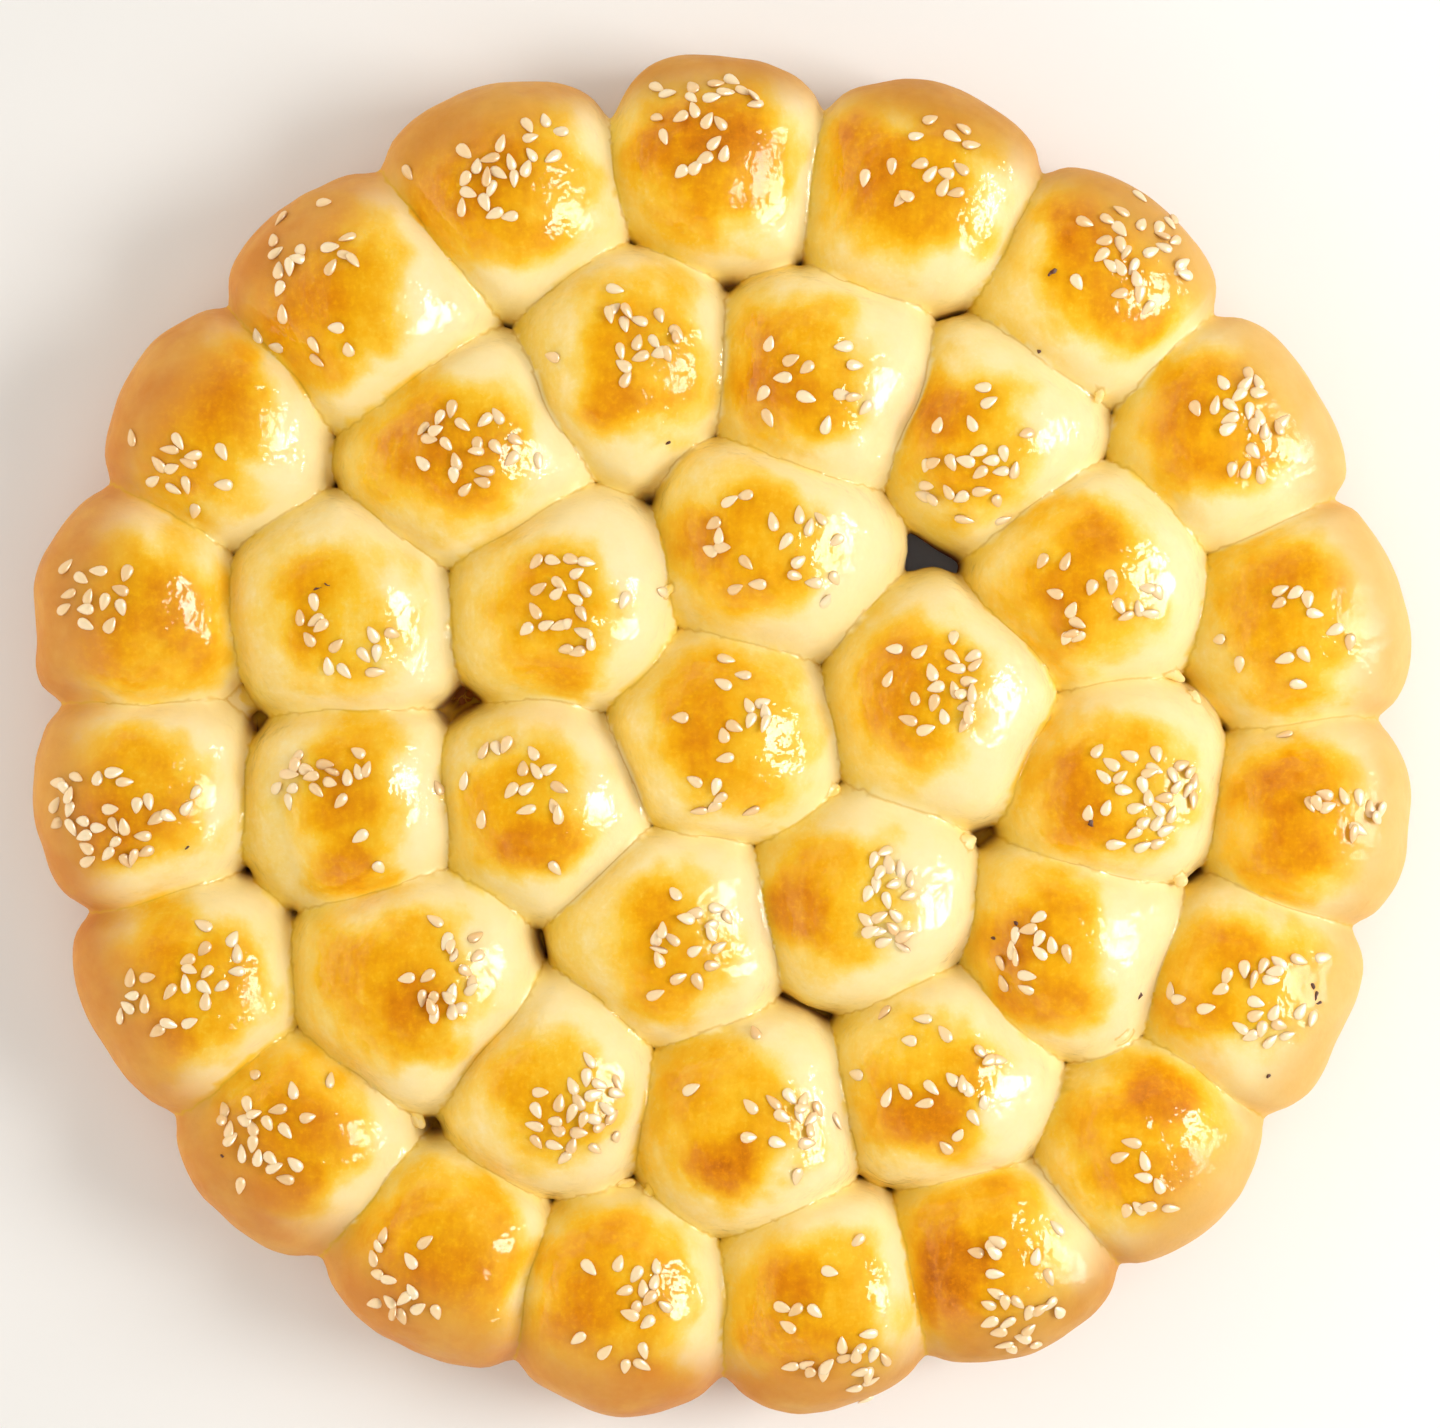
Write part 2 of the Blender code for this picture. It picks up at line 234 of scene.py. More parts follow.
def in_picture(across, down, height=TOP_LEVEL):
    """A place read off the picture, in its pixels from the upper left, as millimetres from the bread's middle
    at the given height. The camera stood close, so what is higher looks larger."""
    scale = PIXEL * (PICTURE_HEIGHT - height) / (PICTURE_HEIGHT - WIDEST_LEVEL)
    return (across - PICTURE_MIDDLE[0]) * scale, (PICTURE_MIDDLE[1] - down) * scale


def ball_skin(columns, levels):
    """The points of a ball with a radius of 1: its top, rings from the top down, and its bottom."""
    polar = np.pi * np.arange(1, levels) / levels
    turn = np.arange(columns) * math.tau / columns
    rings = np.stack([
        np.sin(polar)[:, None] * np.cos(turn),
        np.sin(polar)[:, None] * np.sin(turn),
        np.broadcast_to(np.cos(polar)[:, None], (len(polar), columns)),
    ], axis=2)
    return np.concatenate([[(0, 0, 1)], rings.reshape(-1, 3), [(0, 0, -1)]])


def nub_points(across, down, height, half_length, half_width, turn):
    """The points of a nub: a ball stretched along one level line, and turned about the upright."""
    x, y = in_picture(across, down, height)
    turn = math.radians(turn)
    ball = ball_skin(NUB_COLUMNS, NUB_LEVELS) * (half_length, half_width, half_width)
    along, sideways = ball[:, 0], ball[:, 1]
    return np.stack([
        x + along * math.cos(turn) - sideways * math.sin(turn),
        y + along * math.sin(turn) + sideways * math.cos(turn),
        height + ball[:, 2],
    ], axis=1)


dough = bpy.data.collections.new("dough")
bpy.context.scene.collection.children.link(dough)
angles = np.arange(ROLL_COLUMNS) * math.tau / ROLL_COLUMNS
draw = np.random.default_rng(39)
roll_faces = ring_faces(ROLL_LEVELS - 1, ROLL_COLUMNS)
for number, reach in enumerate(reaches_of(angles)):
    new_object(f"roll_{number}", roll_points(number, reach, draw), roll_faces, dough)
for number, nub in enumerate(NUBS):
    new_object(f"nub_{number}", nub_points(*nub), ring_faces(NUB_LEVELS - 1, NUB_COLUMNS), dough)


# The foot and the gap. The rolls' undersides ran together along the pan's floor into one layer, which closes
# the pits between them. Four rolls left one gap that goes right through. The pan baked the underside flat.
FOOT_RADIUS = 107
FOOT_HEIGHT = 10
FOOT_UNDERSIDE = 1.3
FOOT_RINGS = 40
FOOT_COLUMNS = 160
FOOT_LUMPS = 1.2
FOOT_WAVES = (9, 4, 8)
GAP_MIDDLE = (38.5, 33.5)
GAP_LENGTH = 26
GAP_WIDTH = 17
GAP_TURN = math.radians(-20)
GAP_SIDES = 32
GAP_REACH = 18
CUT_WIDTH = 200
CUT_DEPTH = 60
SMALLEST_EDGE = 0.04


def foot_points():
    """A round layer: rings of points on its top from the middle outwards, and a second set below them from
    the rim back to the middle. Waves lift and lower the top."""
    far = FOOT_RADIUS * np.arange(1, FOOT_RINGS + 1) / FOOT_RINGS
    far = np.concatenate([far, far[::-1]])
    turn = np.arange(FOOT_COLUMNS) * math.tau / FOOT_COLUMNS
    level = np.repeat([FOOT_HEIGHT, FOOT_UNDERSIDE], FOOT_RINGS)
    rings = np.stack([
        far[:, None] * np.cos(turn),
        far[:, None] * np.sin(turn),
        np.broadcast_to(level[:, None], (2 * FOOT_RINGS, FOOT_COLUMNS)),
    ], axis=2).reshape(-1, 3)
    points = np.concatenate([[(0, 0, FOOT_HEIGHT)], rings, [(0, 0, FOOT_UNDERSIDE)]]).astype(float)
    above = points[:, 2] > FOOT_UNDERSIDE
    points[above, 2] += FOOT_LUMPS * waves(points[above], *FOOT_WAVES)
    return points


def gap_points():
    """The corners of an upright oval block: an ellipse twice, one under the other, between two points."""
    turn = np.arange(GAP_SIDES) * math.tau / GAP_SIDES
    along, across = GAP_LENGTH / 2 * np.cos(turn), GAP_WIDTH / 2 * np.sin(turn)
    x = GAP_MIDDLE[0] + along * math.cos(GAP_TURN) - across * math.sin(GAP_TURN)
    y = GAP_MIDDLE[1] + along * math.sin(GAP_TURN) + across * math.cos(GAP_TURN)
    upper = np.stack([x, y, np.full_like(x, GAP_REACH)], axis=1)
    lower = np.stack([x, y, np.full_like(x, -GAP_REACH)], axis=1)
    return np.concatenate([[(*GAP_MIDDLE, GAP_REACH)], upper, lower, [(*GAP_MIDDLE, -GAP_REACH)]])


def combine(piece, operation, other):
    """Adds a Boolean of the piece with an object or a whole collection."""
    modifier = piece.modifiers.new(operation.lower(), "BOOLEAN")
    modifier.operation = operation
    modifier.solver = "MANIFOLD"
    if isinstance(other, bpy.types.Collection):
        modifier.operand_type = "COLLECTION"
        modifier.collection = other
    else:
        modifier.object = other


def without_slivers(mesh):
    """Cuts the flat underside into triangles, merges the ends of edges shorter than the smallest detail,
    takes out the faces that fold up, and closes what that opens."""
    work = bmesh.new()
    work.from_mesh(mesh)
    bmesh.ops.triangulate(work, faces=[face for face in work.faces if len(face.verts) > 4])
    bmesh.ops.dissolve_degenerate(work, dist=SMALLEST_EDGE * MM, edges=work.edges)
    bmesh.ops.holes_fill(work, edges=[edge for edge in work.edges if edge.is_boundary])
    work.to_mesh(mesh)
    work.free()


crust = new_object("crust", foot_points(), ring_faces(2 * FOOT_RINGS, FOOT_COLUMNS))
gap = new_object("gap", gap_points(), ring_faces(2, GAP_SIDES))
sides = (-CUT_WIDTH, CUT_WIDTH)
block = np.array([(x, y, z) for x in sides for y in sides for z in (-CUT_DEPTH, 0)], float)
block_faces = [(0, 1, 3, 2), (4, 6, 7, 5), (0, 4, 5, 1), (2, 3, 7, 6), (0, 2, 6, 4), (1, 5, 7, 3)]
table_cut = new_object("table_cut", block, block_faces)
combine(crust, "DIFFERENCE", gap)
combine(crust, "UNION", dough)
combine(crust, "DIFFERENCE", table_cut)
joined = bpy.data.meshes.new_from_object(crust.evaluated_get(bpy.context.evaluated_depsgraph_get()))
without_slivers(joined)
crust.modifiers.clear()
crust.data = joined
for helper in [gap, table_cut, *dough.objects]:
    bpy.data.objects.remove(helper)
bpy.data.collections.remove(dough)


# The folds and the creases. The dough was pinched here and there as it was shaped, which left grooves and
# ridges, and the bottoms of the creases ran together. A fold is its depth, its half width and the places on
# its line in the picture, and one with a depth below nothing stands out.
FOLDS = (
    (1.3, 2.2, ((276, 800), (278, 836), (288, 872), (296, 896))),
    (1.2, 2.2, ((1060, 1080), (1072, 1130), (1096, 1180), (1112, 1226))),
    (0.8, 2, ((652, 104), (666, 86), (700, 75), (742, 71))),
    (-0.7, 1.9, ((600, 602), (616, 598), (634, 606))),
    (0.5, 2, ((604, 616), (628, 618), (652, 608))),
    (-0.8, 1.9, ((1004, 1168), (1030, 1142), (1040, 1112))),
    (0.7, 2, ((1010, 1150), (1026, 1128), (1030, 1100))),
    (0.6, 2, ((1000, 1040), (1030, 1062), (1052, 1070))),
    (0.6, 2, ((300, 1236), (318, 1228), (332, 1222))),
    (0.5, 2, ((736, 1376), (752, 1390), (776, 1396))),
)
SHARP_CREASE = math.radians(38)
SHARP_RIM = math.radians(55)
CREASE_LEVEL = 2
CREASE_REACH = 5
CREASE_ROUNDS = 24
CREASE_PULL = 0.5


def coordinates(mesh):
    """The mesh's points, in millimetres."""
    found = np.empty(len(mesh.vertices) * 3, np.float32)
    mesh.vertices.foreach_get("co", found)
    return found.reshape(-1, 3).astype(float) / MM


def distance_to_line(flat, places):
    """How far each point is, seen from above, from a line through the places."""
    corners = np.array([in_picture(*place) for place in places])
    best = np.full(len(flat), np.inf)
    for start, end in zip(corners, corners[1:]):
        way = end - start
        share = np.clip((flat - start) @ way / (way @ way), 0, 1)
        best = np.minimum(best, np.linalg.norm(flat - start - share[:, None] * way, axis=1))
    return best


def fold_skin(mesh):
    """Presses the folds into the mesh along its normals: deepest on the line, falling off as a bell curve."""
    points = coordinates(mesh)
    normals = np.empty(len(points) * 3, np.float32)
    mesh.vertex_normals.foreach_get("vector", normals)
    normals = normals.reshape(-1, 3)
    for depth, half_width, places in FOLDS:
        far = distance_to_line(points[:, :2], places)
        pressed = depth * np.exp(-(far / half_width) ** 2) * (normals[:, 2] > 0)
        points -= normals * pressed[:, None]
    mesh.vertices.foreach_set("co", (points * MM).astype(np.float32).reshape(-1))
    mesh.update()


def edge_ends(mesh):
    """The two points of every edge."""
    ends = np.empty(len(mesh.edges) * 2, np.int64)
    mesh.edges.foreach_get("vertices", ends)
    return ends.reshape(-1, 2)


def crease_points(mesh, ends):
    """1 for the points that lie on a sharp edge, and 0 for the rest."""
    sharp = np.zeros(len(mesh.edges), bool)
    mesh.attributes["sharp_edge"].data.foreach_get("value", sharp)
    found = np.zeros(len(mesh.vertices))
    found[ends[sharp].reshape(-1)] = 1
    return found


def mean_beside(values, ends):
    """For every point, the mean of the values at the points that an edge joins to it."""
    total = np.zeros_like(values)
    np.add.at(total, ends[:, 0], values[ends[:, 1]])
    np.add.at(total, ends[:, 1], values[ends[:, 0]])
    count = np.bincount(ends.reshape(-1), minlength=len(values)).reshape(-1, *[1] * (values.ndim - 1))
    return total / count


def soften_creases(mesh, ends, crease):
    """Fills the bottom of each crease, where the dough ran together: again and again, each point near a
    crease goes part of the way to the mean of those beside it. The pull fades out a few points away from the
    crease, and the flat underside stays."""
    points = coordinates(mesh)
    above = points[:, 2] > CREASE_LEVEL
    pull = crease * above
    for _ in range(CREASE_REACH):
        pull = np.maximum(pull, mean_beside(pull, ends) * above)
    for _ in range(CREASE_ROUNDS):
        points += CREASE_PULL * pull[:, None] * (mean_beside(points, ends) - points)
    mesh.vertices.foreach_set("co", (points * MM).astype(np.float32).reshape(-1))
    mesh.update()


fold_skin(joined)
joined.shade_smooth()
joined.set_sharp_from_angle(angle=SHARP_CREASE)
ends = edge_ends(joined)
crease = crease_points(joined, ends)
soften_creases(joined, ends, crease)
joined.set_sharp_from_angle(angle=SHARP_RIM)


# The browning. Heat browned each roll from its top down, unevenly, and least where another roll covered its
# side. The outer rolls are browned over their outer sides too, where they stood against the pan.
# The colour also holds painted light and shade: painted shade on each roll's left side, in the valleys by the
# creases and in the pits, and painted light on the right sides, which face the window.
TOP_SCALE = 0.969
FIRST_EDGE = (0.5, 1.25)
LATER_EDGE = (0.3, 1.3)
LATER_BOOST = 1.3
RAGGED_EDGES = ((0.09, 16, 8, 21), (0.03, 6, 3, 22))
PALEST = 0.93
# Painted shade makes the left side of each roll browner, and painted light makes its right side paler.
LEFT_PAINTED_SHADE = 0.16
RIGHT_PAINTED_LIGHT = 0.05
TURN_STEPS = 720

# Where each finish starts and where it is full: levels and distances from the axis in millimetres, and shares
# of a roll's reach.
# The left walls are darker, as painted shade and a painted warm reflection, and the right walls are paler, as
# painted light.
LEFT_SLANT = 0.35
LEFT_SIDE = (30, -60)
RIGHT_SIDE = (0.55, 0.8)
OUTER_START, OUTER_END = 108, 119
LEFT_START, LEFT_END = 5, 2
# Painted shade in the valleys beside the creases, strongest on the left flanks, away from the window.
VALLEY_SHARES = (0.8, 1.02)
VALLEY_SIDES = (0.6, -0.2)
VALLEY_LEAST = 0.45
# Painted shade, dark brown, on the low surfaces between rolls: the pits, the crease bottoms and the gap.
PIT_LEVELS, PIT_RADII = (20, 11), (112, 106)
BASE_LEVELS, BASE_RADII = (11, 2), (108, 116)
UNDERSIDE_LEVELS = (3, 0.5)
WASHED_LEVELS, WASHED_SHARES = (13, 23), (1, 0.9)
WALL_DRYNESS = 0.85

# Where each roll is browned: ovals in the picture, each as its middle (across, down), its half width, its
# half height and its strength. The first of each roll is the whole browned top, and the others lie on it.
BROWNED_PATCHES = (
    ((500, 172, 104, 92, 0.42), (478, 160, 66, 55, 0.2), (455, 225, 45, 30, 0.15), (530, 240, 55, 28, 0.12)),
    ((712, 152, 92, 84, 0.46), (700, 135, 60, 48, 0.26), (752, 132, 40, 36, 0.14), (700, 222, 70, 32, 0.14)),
    ((915, 172, 92, 88, 0.42), (872, 150, 46, 52, 0.22), (905, 205, 60, 46, 0.14), (950, 120, 50, 30, 0.1)),
    ((1120, 258, 92, 84, 0.42), (1082, 226, 42, 36, 0.32), (1090, 285, 50, 40, 0.14),
     (1130, 324, 62, 24, 0.16)),
    ((1228, 412, 84, 80, 0.42), (1182, 412, 34, 60, 0.2), (1220, 460, 55, 34, 0.12),
     (1230, 365, 50, 26, 0.1)),
    ((1292, 618, 78, 88, 0.34), (1290, 570, 48, 30, 0.24), (1276, 625, 34, 55, 0.12),
     (1296, 692, 42, 24, 0.2)),
    ((1306, 818, 76, 78, 0.42), (1284, 790, 40, 50, 0.26), (1290, 860, 56, 36, 0.2)),
    ((1248, 980, 108, 66, 0.32), (1238, 945, 40, 26, 0.26), (1198, 1018, 46, 26, 0.2),
     (1320, 975, 30, 50, 0.08)),
    ((1155, 1140, 96, 92, 0.3), (1152, 1096, 48, 36, 0.4), (1165, 1186, 80, 44, 0.24),
     (1098, 1140, 34, 50, 0.08)),
    ((985, 1272, 84, 92, 0.42), (950, 1268, 42, 58, 0.42), (975, 1330, 50, 28, 0.16),
     (1004, 1205, 50, 24, 0.08)),
    ((818, 1318, 92, 90, 0.4), (796, 1276, 36, 32, 0.28), (800, 1350, 62, 40, 0.18),
     (812, 1392, 60, 22, 0.24)),
    ((615, 1308, 86, 98, 0.42), (584, 1300, 38, 52, 0.24), (640, 1384, 62, 26, 0.26),
     (622, 1235, 55, 26, 0.12)),
    ((440, 1258, 100, 98, 0.44), (448, 1268, 40, 34, 0.26), (400, 1300, 60, 44, 0.1),
     (480, 1325, 50, 36, 0.08)),
    ((284, 1132, 86, 92, 0.42), (296, 1130, 44, 44, 0.22), (284, 1192, 48, 30, 0.3),
     (240, 1140, 40, 50, 0.1)),
    ((188, 985, 90, 86, 0.38), (158, 1038, 46, 34, 0.36), (170, 965, 52, 36, 0.14), (224, 985, 34, 40, 0.06)),
    ((128, 800, 88, 74, 0.42), (112, 826, 60, 40, 0.26), (170, 820, 30, 36, 0.12), (160, 758, 40, 30, 0.06)),
    ((138, 615, 104, 88, 0.42), (100, 645, 52, 40, 0.18), (160, 610, 44, 40, 0.18), (180, 650, 40, 34, 0.1)),
    ((200, 420, 82, 100, 0.4), (190, 400, 56, 62, 0.16), (226, 388, 36, 46, 0.18), (190, 480, 50, 30, 0.08)),
    ((326, 282, 88, 98, 0.42), (306, 300, 48, 44, 0.24), (318, 225, 50, 34, 0.16), (326, 360, 42, 34, 0.14)),
    ((450, 450, 88, 82, 0.4), (430, 446, 50, 50, 0.22), (500, 440, 36, 40, 0.14), (450, 500, 52, 30, 0.14)),
    ((644, 350, 78, 92, 0.36), (618, 402, 46, 34, 0.3), (626, 335, 40, 46, 0.12), (686, 400, 30, 40, 0.08)),
    ((802, 368, 78, 78, 0.36), (774, 382, 42, 44, 0.26), (826, 410, 36, 34, 0.14), (800, 325, 50, 24, 0.1)),
    ((972, 440, 68, 84, 0.3), (944, 412, 38, 44, 0.3), (968, 482, 44, 30, 0.2), (1000, 385, 34, 24, 0.1)),
    ((1084, 585, 80, 92, 0.28), (1086, 538, 38, 44, 0.32), (1062, 610, 36, 54, 0.28),
     (1130, 610, 34, 40, 0.08)),
    ((1118, 785, 92, 74, 0.32), (1068, 790, 40, 50, 0.32), (1110, 735, 54, 26, 0.12),
     (1120, 834, 50, 22, 0.18)),
    ((1046, 950, 66, 88, 0.4), (1014, 935, 34, 42, 0.28), (1052, 1004, 52, 34, 0.24),
     (1062, 890, 44, 30, 0.12)),
    ((930, 1090, 76, 78, 0.3), (926, 1124, 54, 32, 0.42), (962, 1085, 36, 44, 0.16),
     (882, 1095, 30, 44, 0.1)),
    ((732, 1120, 84, 84, 0.34), (724, 1170, 52, 34, 0.42), (692, 1080, 34, 34, 0.14),
     (770, 1130, 40, 40, 0.1)),
    ((556, 1098, 76, 72, 0.3), (530, 1090, 40, 44, 0.12), (560, 1128, 50, 30, 0.1)),
    ((402, 985, 92, 82, 0.36), (418, 1005, 42, 40, 0.34), (370, 960, 50, 50, 0.1), (430, 1048, 46, 22, 0.18)),
    ((346, 800, 62, 96, 0.3), (350, 740, 44, 32, 0.16), (348, 806, 42, 36, 0.28), (346, 866, 44, 38, 0.36)),
    ((342, 612, 76, 78, 0.26), (318, 580, 42, 34, 0.18), (306, 636, 28, 46, 0.26), (360, 680, 40, 22, 0.1)),
    ((556, 622, 68, 88, 0.34), (540, 590, 42, 44, 0.14), (572, 618, 30, 34, 0.1), (556, 680, 44, 26, 0.16)),
    ((752, 542, 88, 72, 0.36), (708, 538, 36, 44, 0.18), (770, 588, 52, 26, 0.16), (760, 500, 50, 28, 0.1)),
    ((918, 692, 70, 86, 0.38), (898, 682, 38, 50, 0.26), (920, 745, 44, 28, 0.1), (950, 650, 30, 30, 0.1)),
    ((836, 898, 78, 72, 0.28), (800, 904, 38, 50, 0.3), (842, 850, 38, 24, 0.12), (850, 945, 46, 22, 0.12)),
    ((672, 948, 66, 80, 0.36), (650, 906, 34, 34, 0.16), (664, 985, 42, 38, 0.12)),
    ((525, 805, 72, 78, 0.3), (528, 840, 58, 36, 0.32), (520, 776, 46, 30, 0.1)),
    ((738, 730, 84, 92, 0.32), (700, 716, 40, 66, 0.26), (724, 672, 38, 26, 0.12), (730, 790, 50, 30, 0.12)),
)


def shares_of_rolls(points):
    """Which roll each point is on, and where on it: its distance from the roll's middle as a share of the
    roll's reach that way, across and up. The point belongs to the roll of which it is the least share."""
    table = reaches_of(np.arange(TURN_STEPS) * math.tau / TURN_STEPS)
    flat = points[:, :2] - crease_shift(points)
    best = np.full(len(points), np.inf)
    number = np.zeros(len(points), int)
    share = np.zeros((len(points), 2))
    for roll, middle in enumerate(MIDDLES):
        away = flat - middle
        angle = np.arctan2(away[:, 1], away[:, 0])
        reach = table[roll][np.round(angle / math.tau * TURN_STEPS).astype(int) % TURN_STEPS]
        own = away / reach[:, None]
        far = np.linalg.norm(own, axis=1)
        nearer = far < best
        best[nearer], number[nearer], share[nearer] = far[nearer], roll, own[nearer]
    return number, share


def browning(points, number, share):
    """How far each point is baked, 0 for pale dough to 1 for dark brown. Each patch falls off round its oval,
    whose edge waves in and out, and what a patch leaves pale the next one can brown. On top of that, sides on
    the left are painted darker, as painted shade, and those on the right paler, as painted light."""
    ragged = sum(depth * waves(points, *lengths) for depth, *lengths in RAGGED_EDGES)
    pale = np.ones(len(points))
    for roll, patches in enumerate(BROWNED_PATCHES):
        own = np.flatnonzero(number == roll)
        for place, patch in enumerate(patches):
            x, y = in_picture(*patch[:2])
            half_width, half_height = np.array(patch[2:4]) * PIXEL * TOP_SCALE
            across, up = (points[own, 0] - x) / half_width, (points[own, 1] - y) / half_height
            far = np.hypot(across, up) + ragged[own]
            soft = FIRST_EDGE if place == 0 else LATER_EDGE
            strength = patch[4] if place == 0 else LATER_BOOST * patch[4]
            pale[own] *= 1 - strength * (1 - eased(far, *soft))
    shade_side_share, lit_side_share = np.clip(-share[:, 0], 0, 1), np.clip(share[:, 0], 0, 1)
    return 1 - pale * (PALEST - LEFT_PAINTED_SHADE * shade_side_share + RIGHT_PAINTED_LIGHT * lit_side_share)


def add_attribute(mesh, name, values):
    """A number for every point of the mesh, which its material reads by name."""
    attribute = mesh.attributes.new(name, "FLOAT", "POINT")
    attribute.data.foreach_set("value", np.asarray(values, np.float32))


points = coordinates(joined)
number, share = shares_of_rolls(points)
height = points[:, 2]
from_axis = np.linalg.norm(points[:, :2], axis=1)
from_middle = np.linalg.norm(share, axis=1)
leftness = eased(points[:, 0] + LEFT_SLANT * points[:, 1], *LEFT_SIDE)
outer_side = eased(from_axis, OUTER_START - LEFT_START * leftness, OUTER_END - LEFT_END * leftness)
# Painted shade: the valley colour covers the left flank of each roll most.
shaded = VALLEY_LEAST + (1 - VALLEY_LEAST) * eased(share[:, 0], *VALLEY_SIDES)
washed = eased(height, *WASHED_LEVELS) * eased(from_middle, *WASHED_SHARES)
add_attribute(joined, "bake", browning(points, number, share))
add_attribute(joined, "crease", crease)
add_attribute(joined, "outer_side", outer_side)
# Painted shade on what lies low between the rolls.
add_attribute(joined, "pit_shade", eased(height, *PIT_LEVELS) * eased(from_axis, *PIT_RADII))
add_attribute(joined, "valley_shade", eased(from_middle, *VALLEY_SHARES) * shaded)
add_attribute(joined, "left", leftness)
add_attribute(joined, "right", eased(points[:, 0] / from_axis, *RIGHT_SIDE))
add_attribute(joined, "base", eased(height, *BASE_LEVELS) * eased(from_axis, *BASE_RADII))
add_attribute(joined, "underside", eased(height, *UNDERSIDE_LEVELS))
add_attribute(joined, "washed", washed * (1 - WALL_DRYNESS * outer_side))


# The crust's finish: soft bread brushed with egg before it was baked. The thin skin is glossy and deep gold,
# and light goes a little way into the crumb under it, so shadows are warm and the pale sides glow. Colours
# are in sRGB, some with how strongly they cover what is under them, and sizes of patterns in millimetres.
BAKED_COLOURS = (
    (0.0, "fcebba"), (0.1, "fbe4a0"), (0.2, "f9d466"), (0.32, "f8c22c"), (0.45, "f2ac0a"),
    (0.58, "e69604"), (0.7, "da8204"), (0.84, "c06804"), (1.0, "8c4206"),
)
WALL_COLOUR = "c88430"
# Left walls: painted shade and a painted warm reflection. Right walls: painted light from the window.
LEFT_WALL_SHADE = (1, "cc8038")
RIGHT_WALL_LIGHT = (1, "e8bc70")
BLOTCH_COLOUR = "e0aa54"
BASE = (0.75, "a8601c")
# Painted shade: the valleys beside the creases, the low pits and crease bottoms, and the crease lines.
VALLEY_SHADE = (0.65, "efd044")
PIT_SHADE = (0.95, "8a3e04")
CREASE_SHADE = (0.6, "d4a620")
UNDERSIDE = (1, "c8823a")
WALL_STRENGTH = 0.95
MOTTLE_SIZE, MOTTLE_SHARE = 4.5, 0.13
FLECK_SIZE, FLECK_SHARE = 0.9, 0.16
STREAK_SIZE, STREAK_SHARE = 1.6, 0.07
STREAK_STRETCH = 0.22
PALE_MOTTLE = 0.015
BLOTCH_SIZE, BLOTCH_MOTTLE = 21, 0.15
LUMP_SIZE = 6.2
PORE_SIZE, PORE_SHARE = 2.4, 0.4
WRINKLE_SIZE = 5.9
BRUSHED_SIZE = 14.2
SKIN_RELIEF = 0.7
WASH_RELIEF = 1.4
CRUMB_GLOW = 4


def colour(code):
    """An sRGB colour, written as six hexadecimal digits, as the linear numbers that a shader takes."""
    parts = [int(code[place:place + 2], 16) / 255 for place in (0, 2, 4)]
    return [part / 12.92 if part <= 0.04045 else ((part + 0.055) / 1.055) ** 2.4 for part in parts] + [1]


def add_node(tree, kind, settings=None, **inputs):
    """A node of this kind with its settings. An input takes another node's socket as a link, or else a value.
    Names of inputs are written with _ for a space, and i with a number picks an input by its place."""
    node = tree.nodes.new(kind)
    for name, value in (settings or {}).items():
        setattr(node, name, value)
    for name, value in inputs.items():
        socket = node.inputs[int(name[1:])] if name[1:].isdigit() else node.inputs[name.replace("_", " ")]
        if isinstance(value, bpy.types.NodeSocket):
            tree.links.new(value, socket)
        else:
            socket.default_value = value
    return node


def new_material(name):
    """A material with an empty node tree, its principled shader and its output."""
    material = bpy.data.materials.new(name)
    material.use_nodes = True
    tree = material.node_tree
    tree.nodes.clear()
    shader = tree.nodes.new("ShaderNodeBsdfPrincipled")
    output = tree.nodes.new("ShaderNodeOutputMaterial")
    tree.links.new(shader.outputs[0], output.inputs[0])
    return material, tree, shader


def colour_ramp(tree, factor, stops):
    """A ramp from one sRGB colour to the next, at the places given."""
    ramp = add_node(tree, "ShaderNodeValToRGB", Fac=factor)
    elements = ramp.color_ramp.elements
    for place, code in stops[1:-1]:
        elements.new(place)
    for element, (place, code) in zip(elements, stops):
        element.position = place
        element.color = colour(code)
    return ramp.outputs[0]


def mixed(tree, factor, first, second):
    """Two colours mixed by the factor."""
    return add_node(tree, "ShaderNodeMix", {"data_type": "RGBA"}, i0=factor, i6=first, i7=second).outputs[2]


def attribute(tree, name):
    """The number that the mesh holds under this name."""
    return add_node(tree, "ShaderNodeAttribute", {"attribute_name": name}).outputs["Fac"]


def covered(tree, base, name, strength, code):
    """The base colour, covered by another as far as the number that the mesh holds under this name."""
    factor = calculate(tree, "MULTIPLY", attribute(tree, name), strength)
    return mixed(tree, factor, base, colour(code))


def noise(tree, place, size, detail=3, roughness=0.5):
    """A cloudy pattern of 0 to 1, with lumps of this size in millimetres."""
    scale = 1 / (size * MM)
    node = add_node(tree, "ShaderNodeTexNoise", Vector=place, Scale=scale, Detail=detail, Roughness=roughness)
    return node.outputs["Fac"]


def ranged(tree, value, low, high, to_low, to_high):
    """A number between two limits moved to two others, and held between them."""
    limits = {"From_Min": low, "From_Max": high, "To_Min": to_low, "To_Max": to_high}
    return add_node(tree, "ShaderNodeMapRange", Value=value, **limits).outputs["Result"]


def calculate(tree, operation, first, second=0.0, third=0.0):
    """One sum of up to three numbers."""
    settings = {"operation": operation}
    return add_node(tree, "ShaderNodeMath", settings, i0=first, i1=second, i2=third).outputs[0]


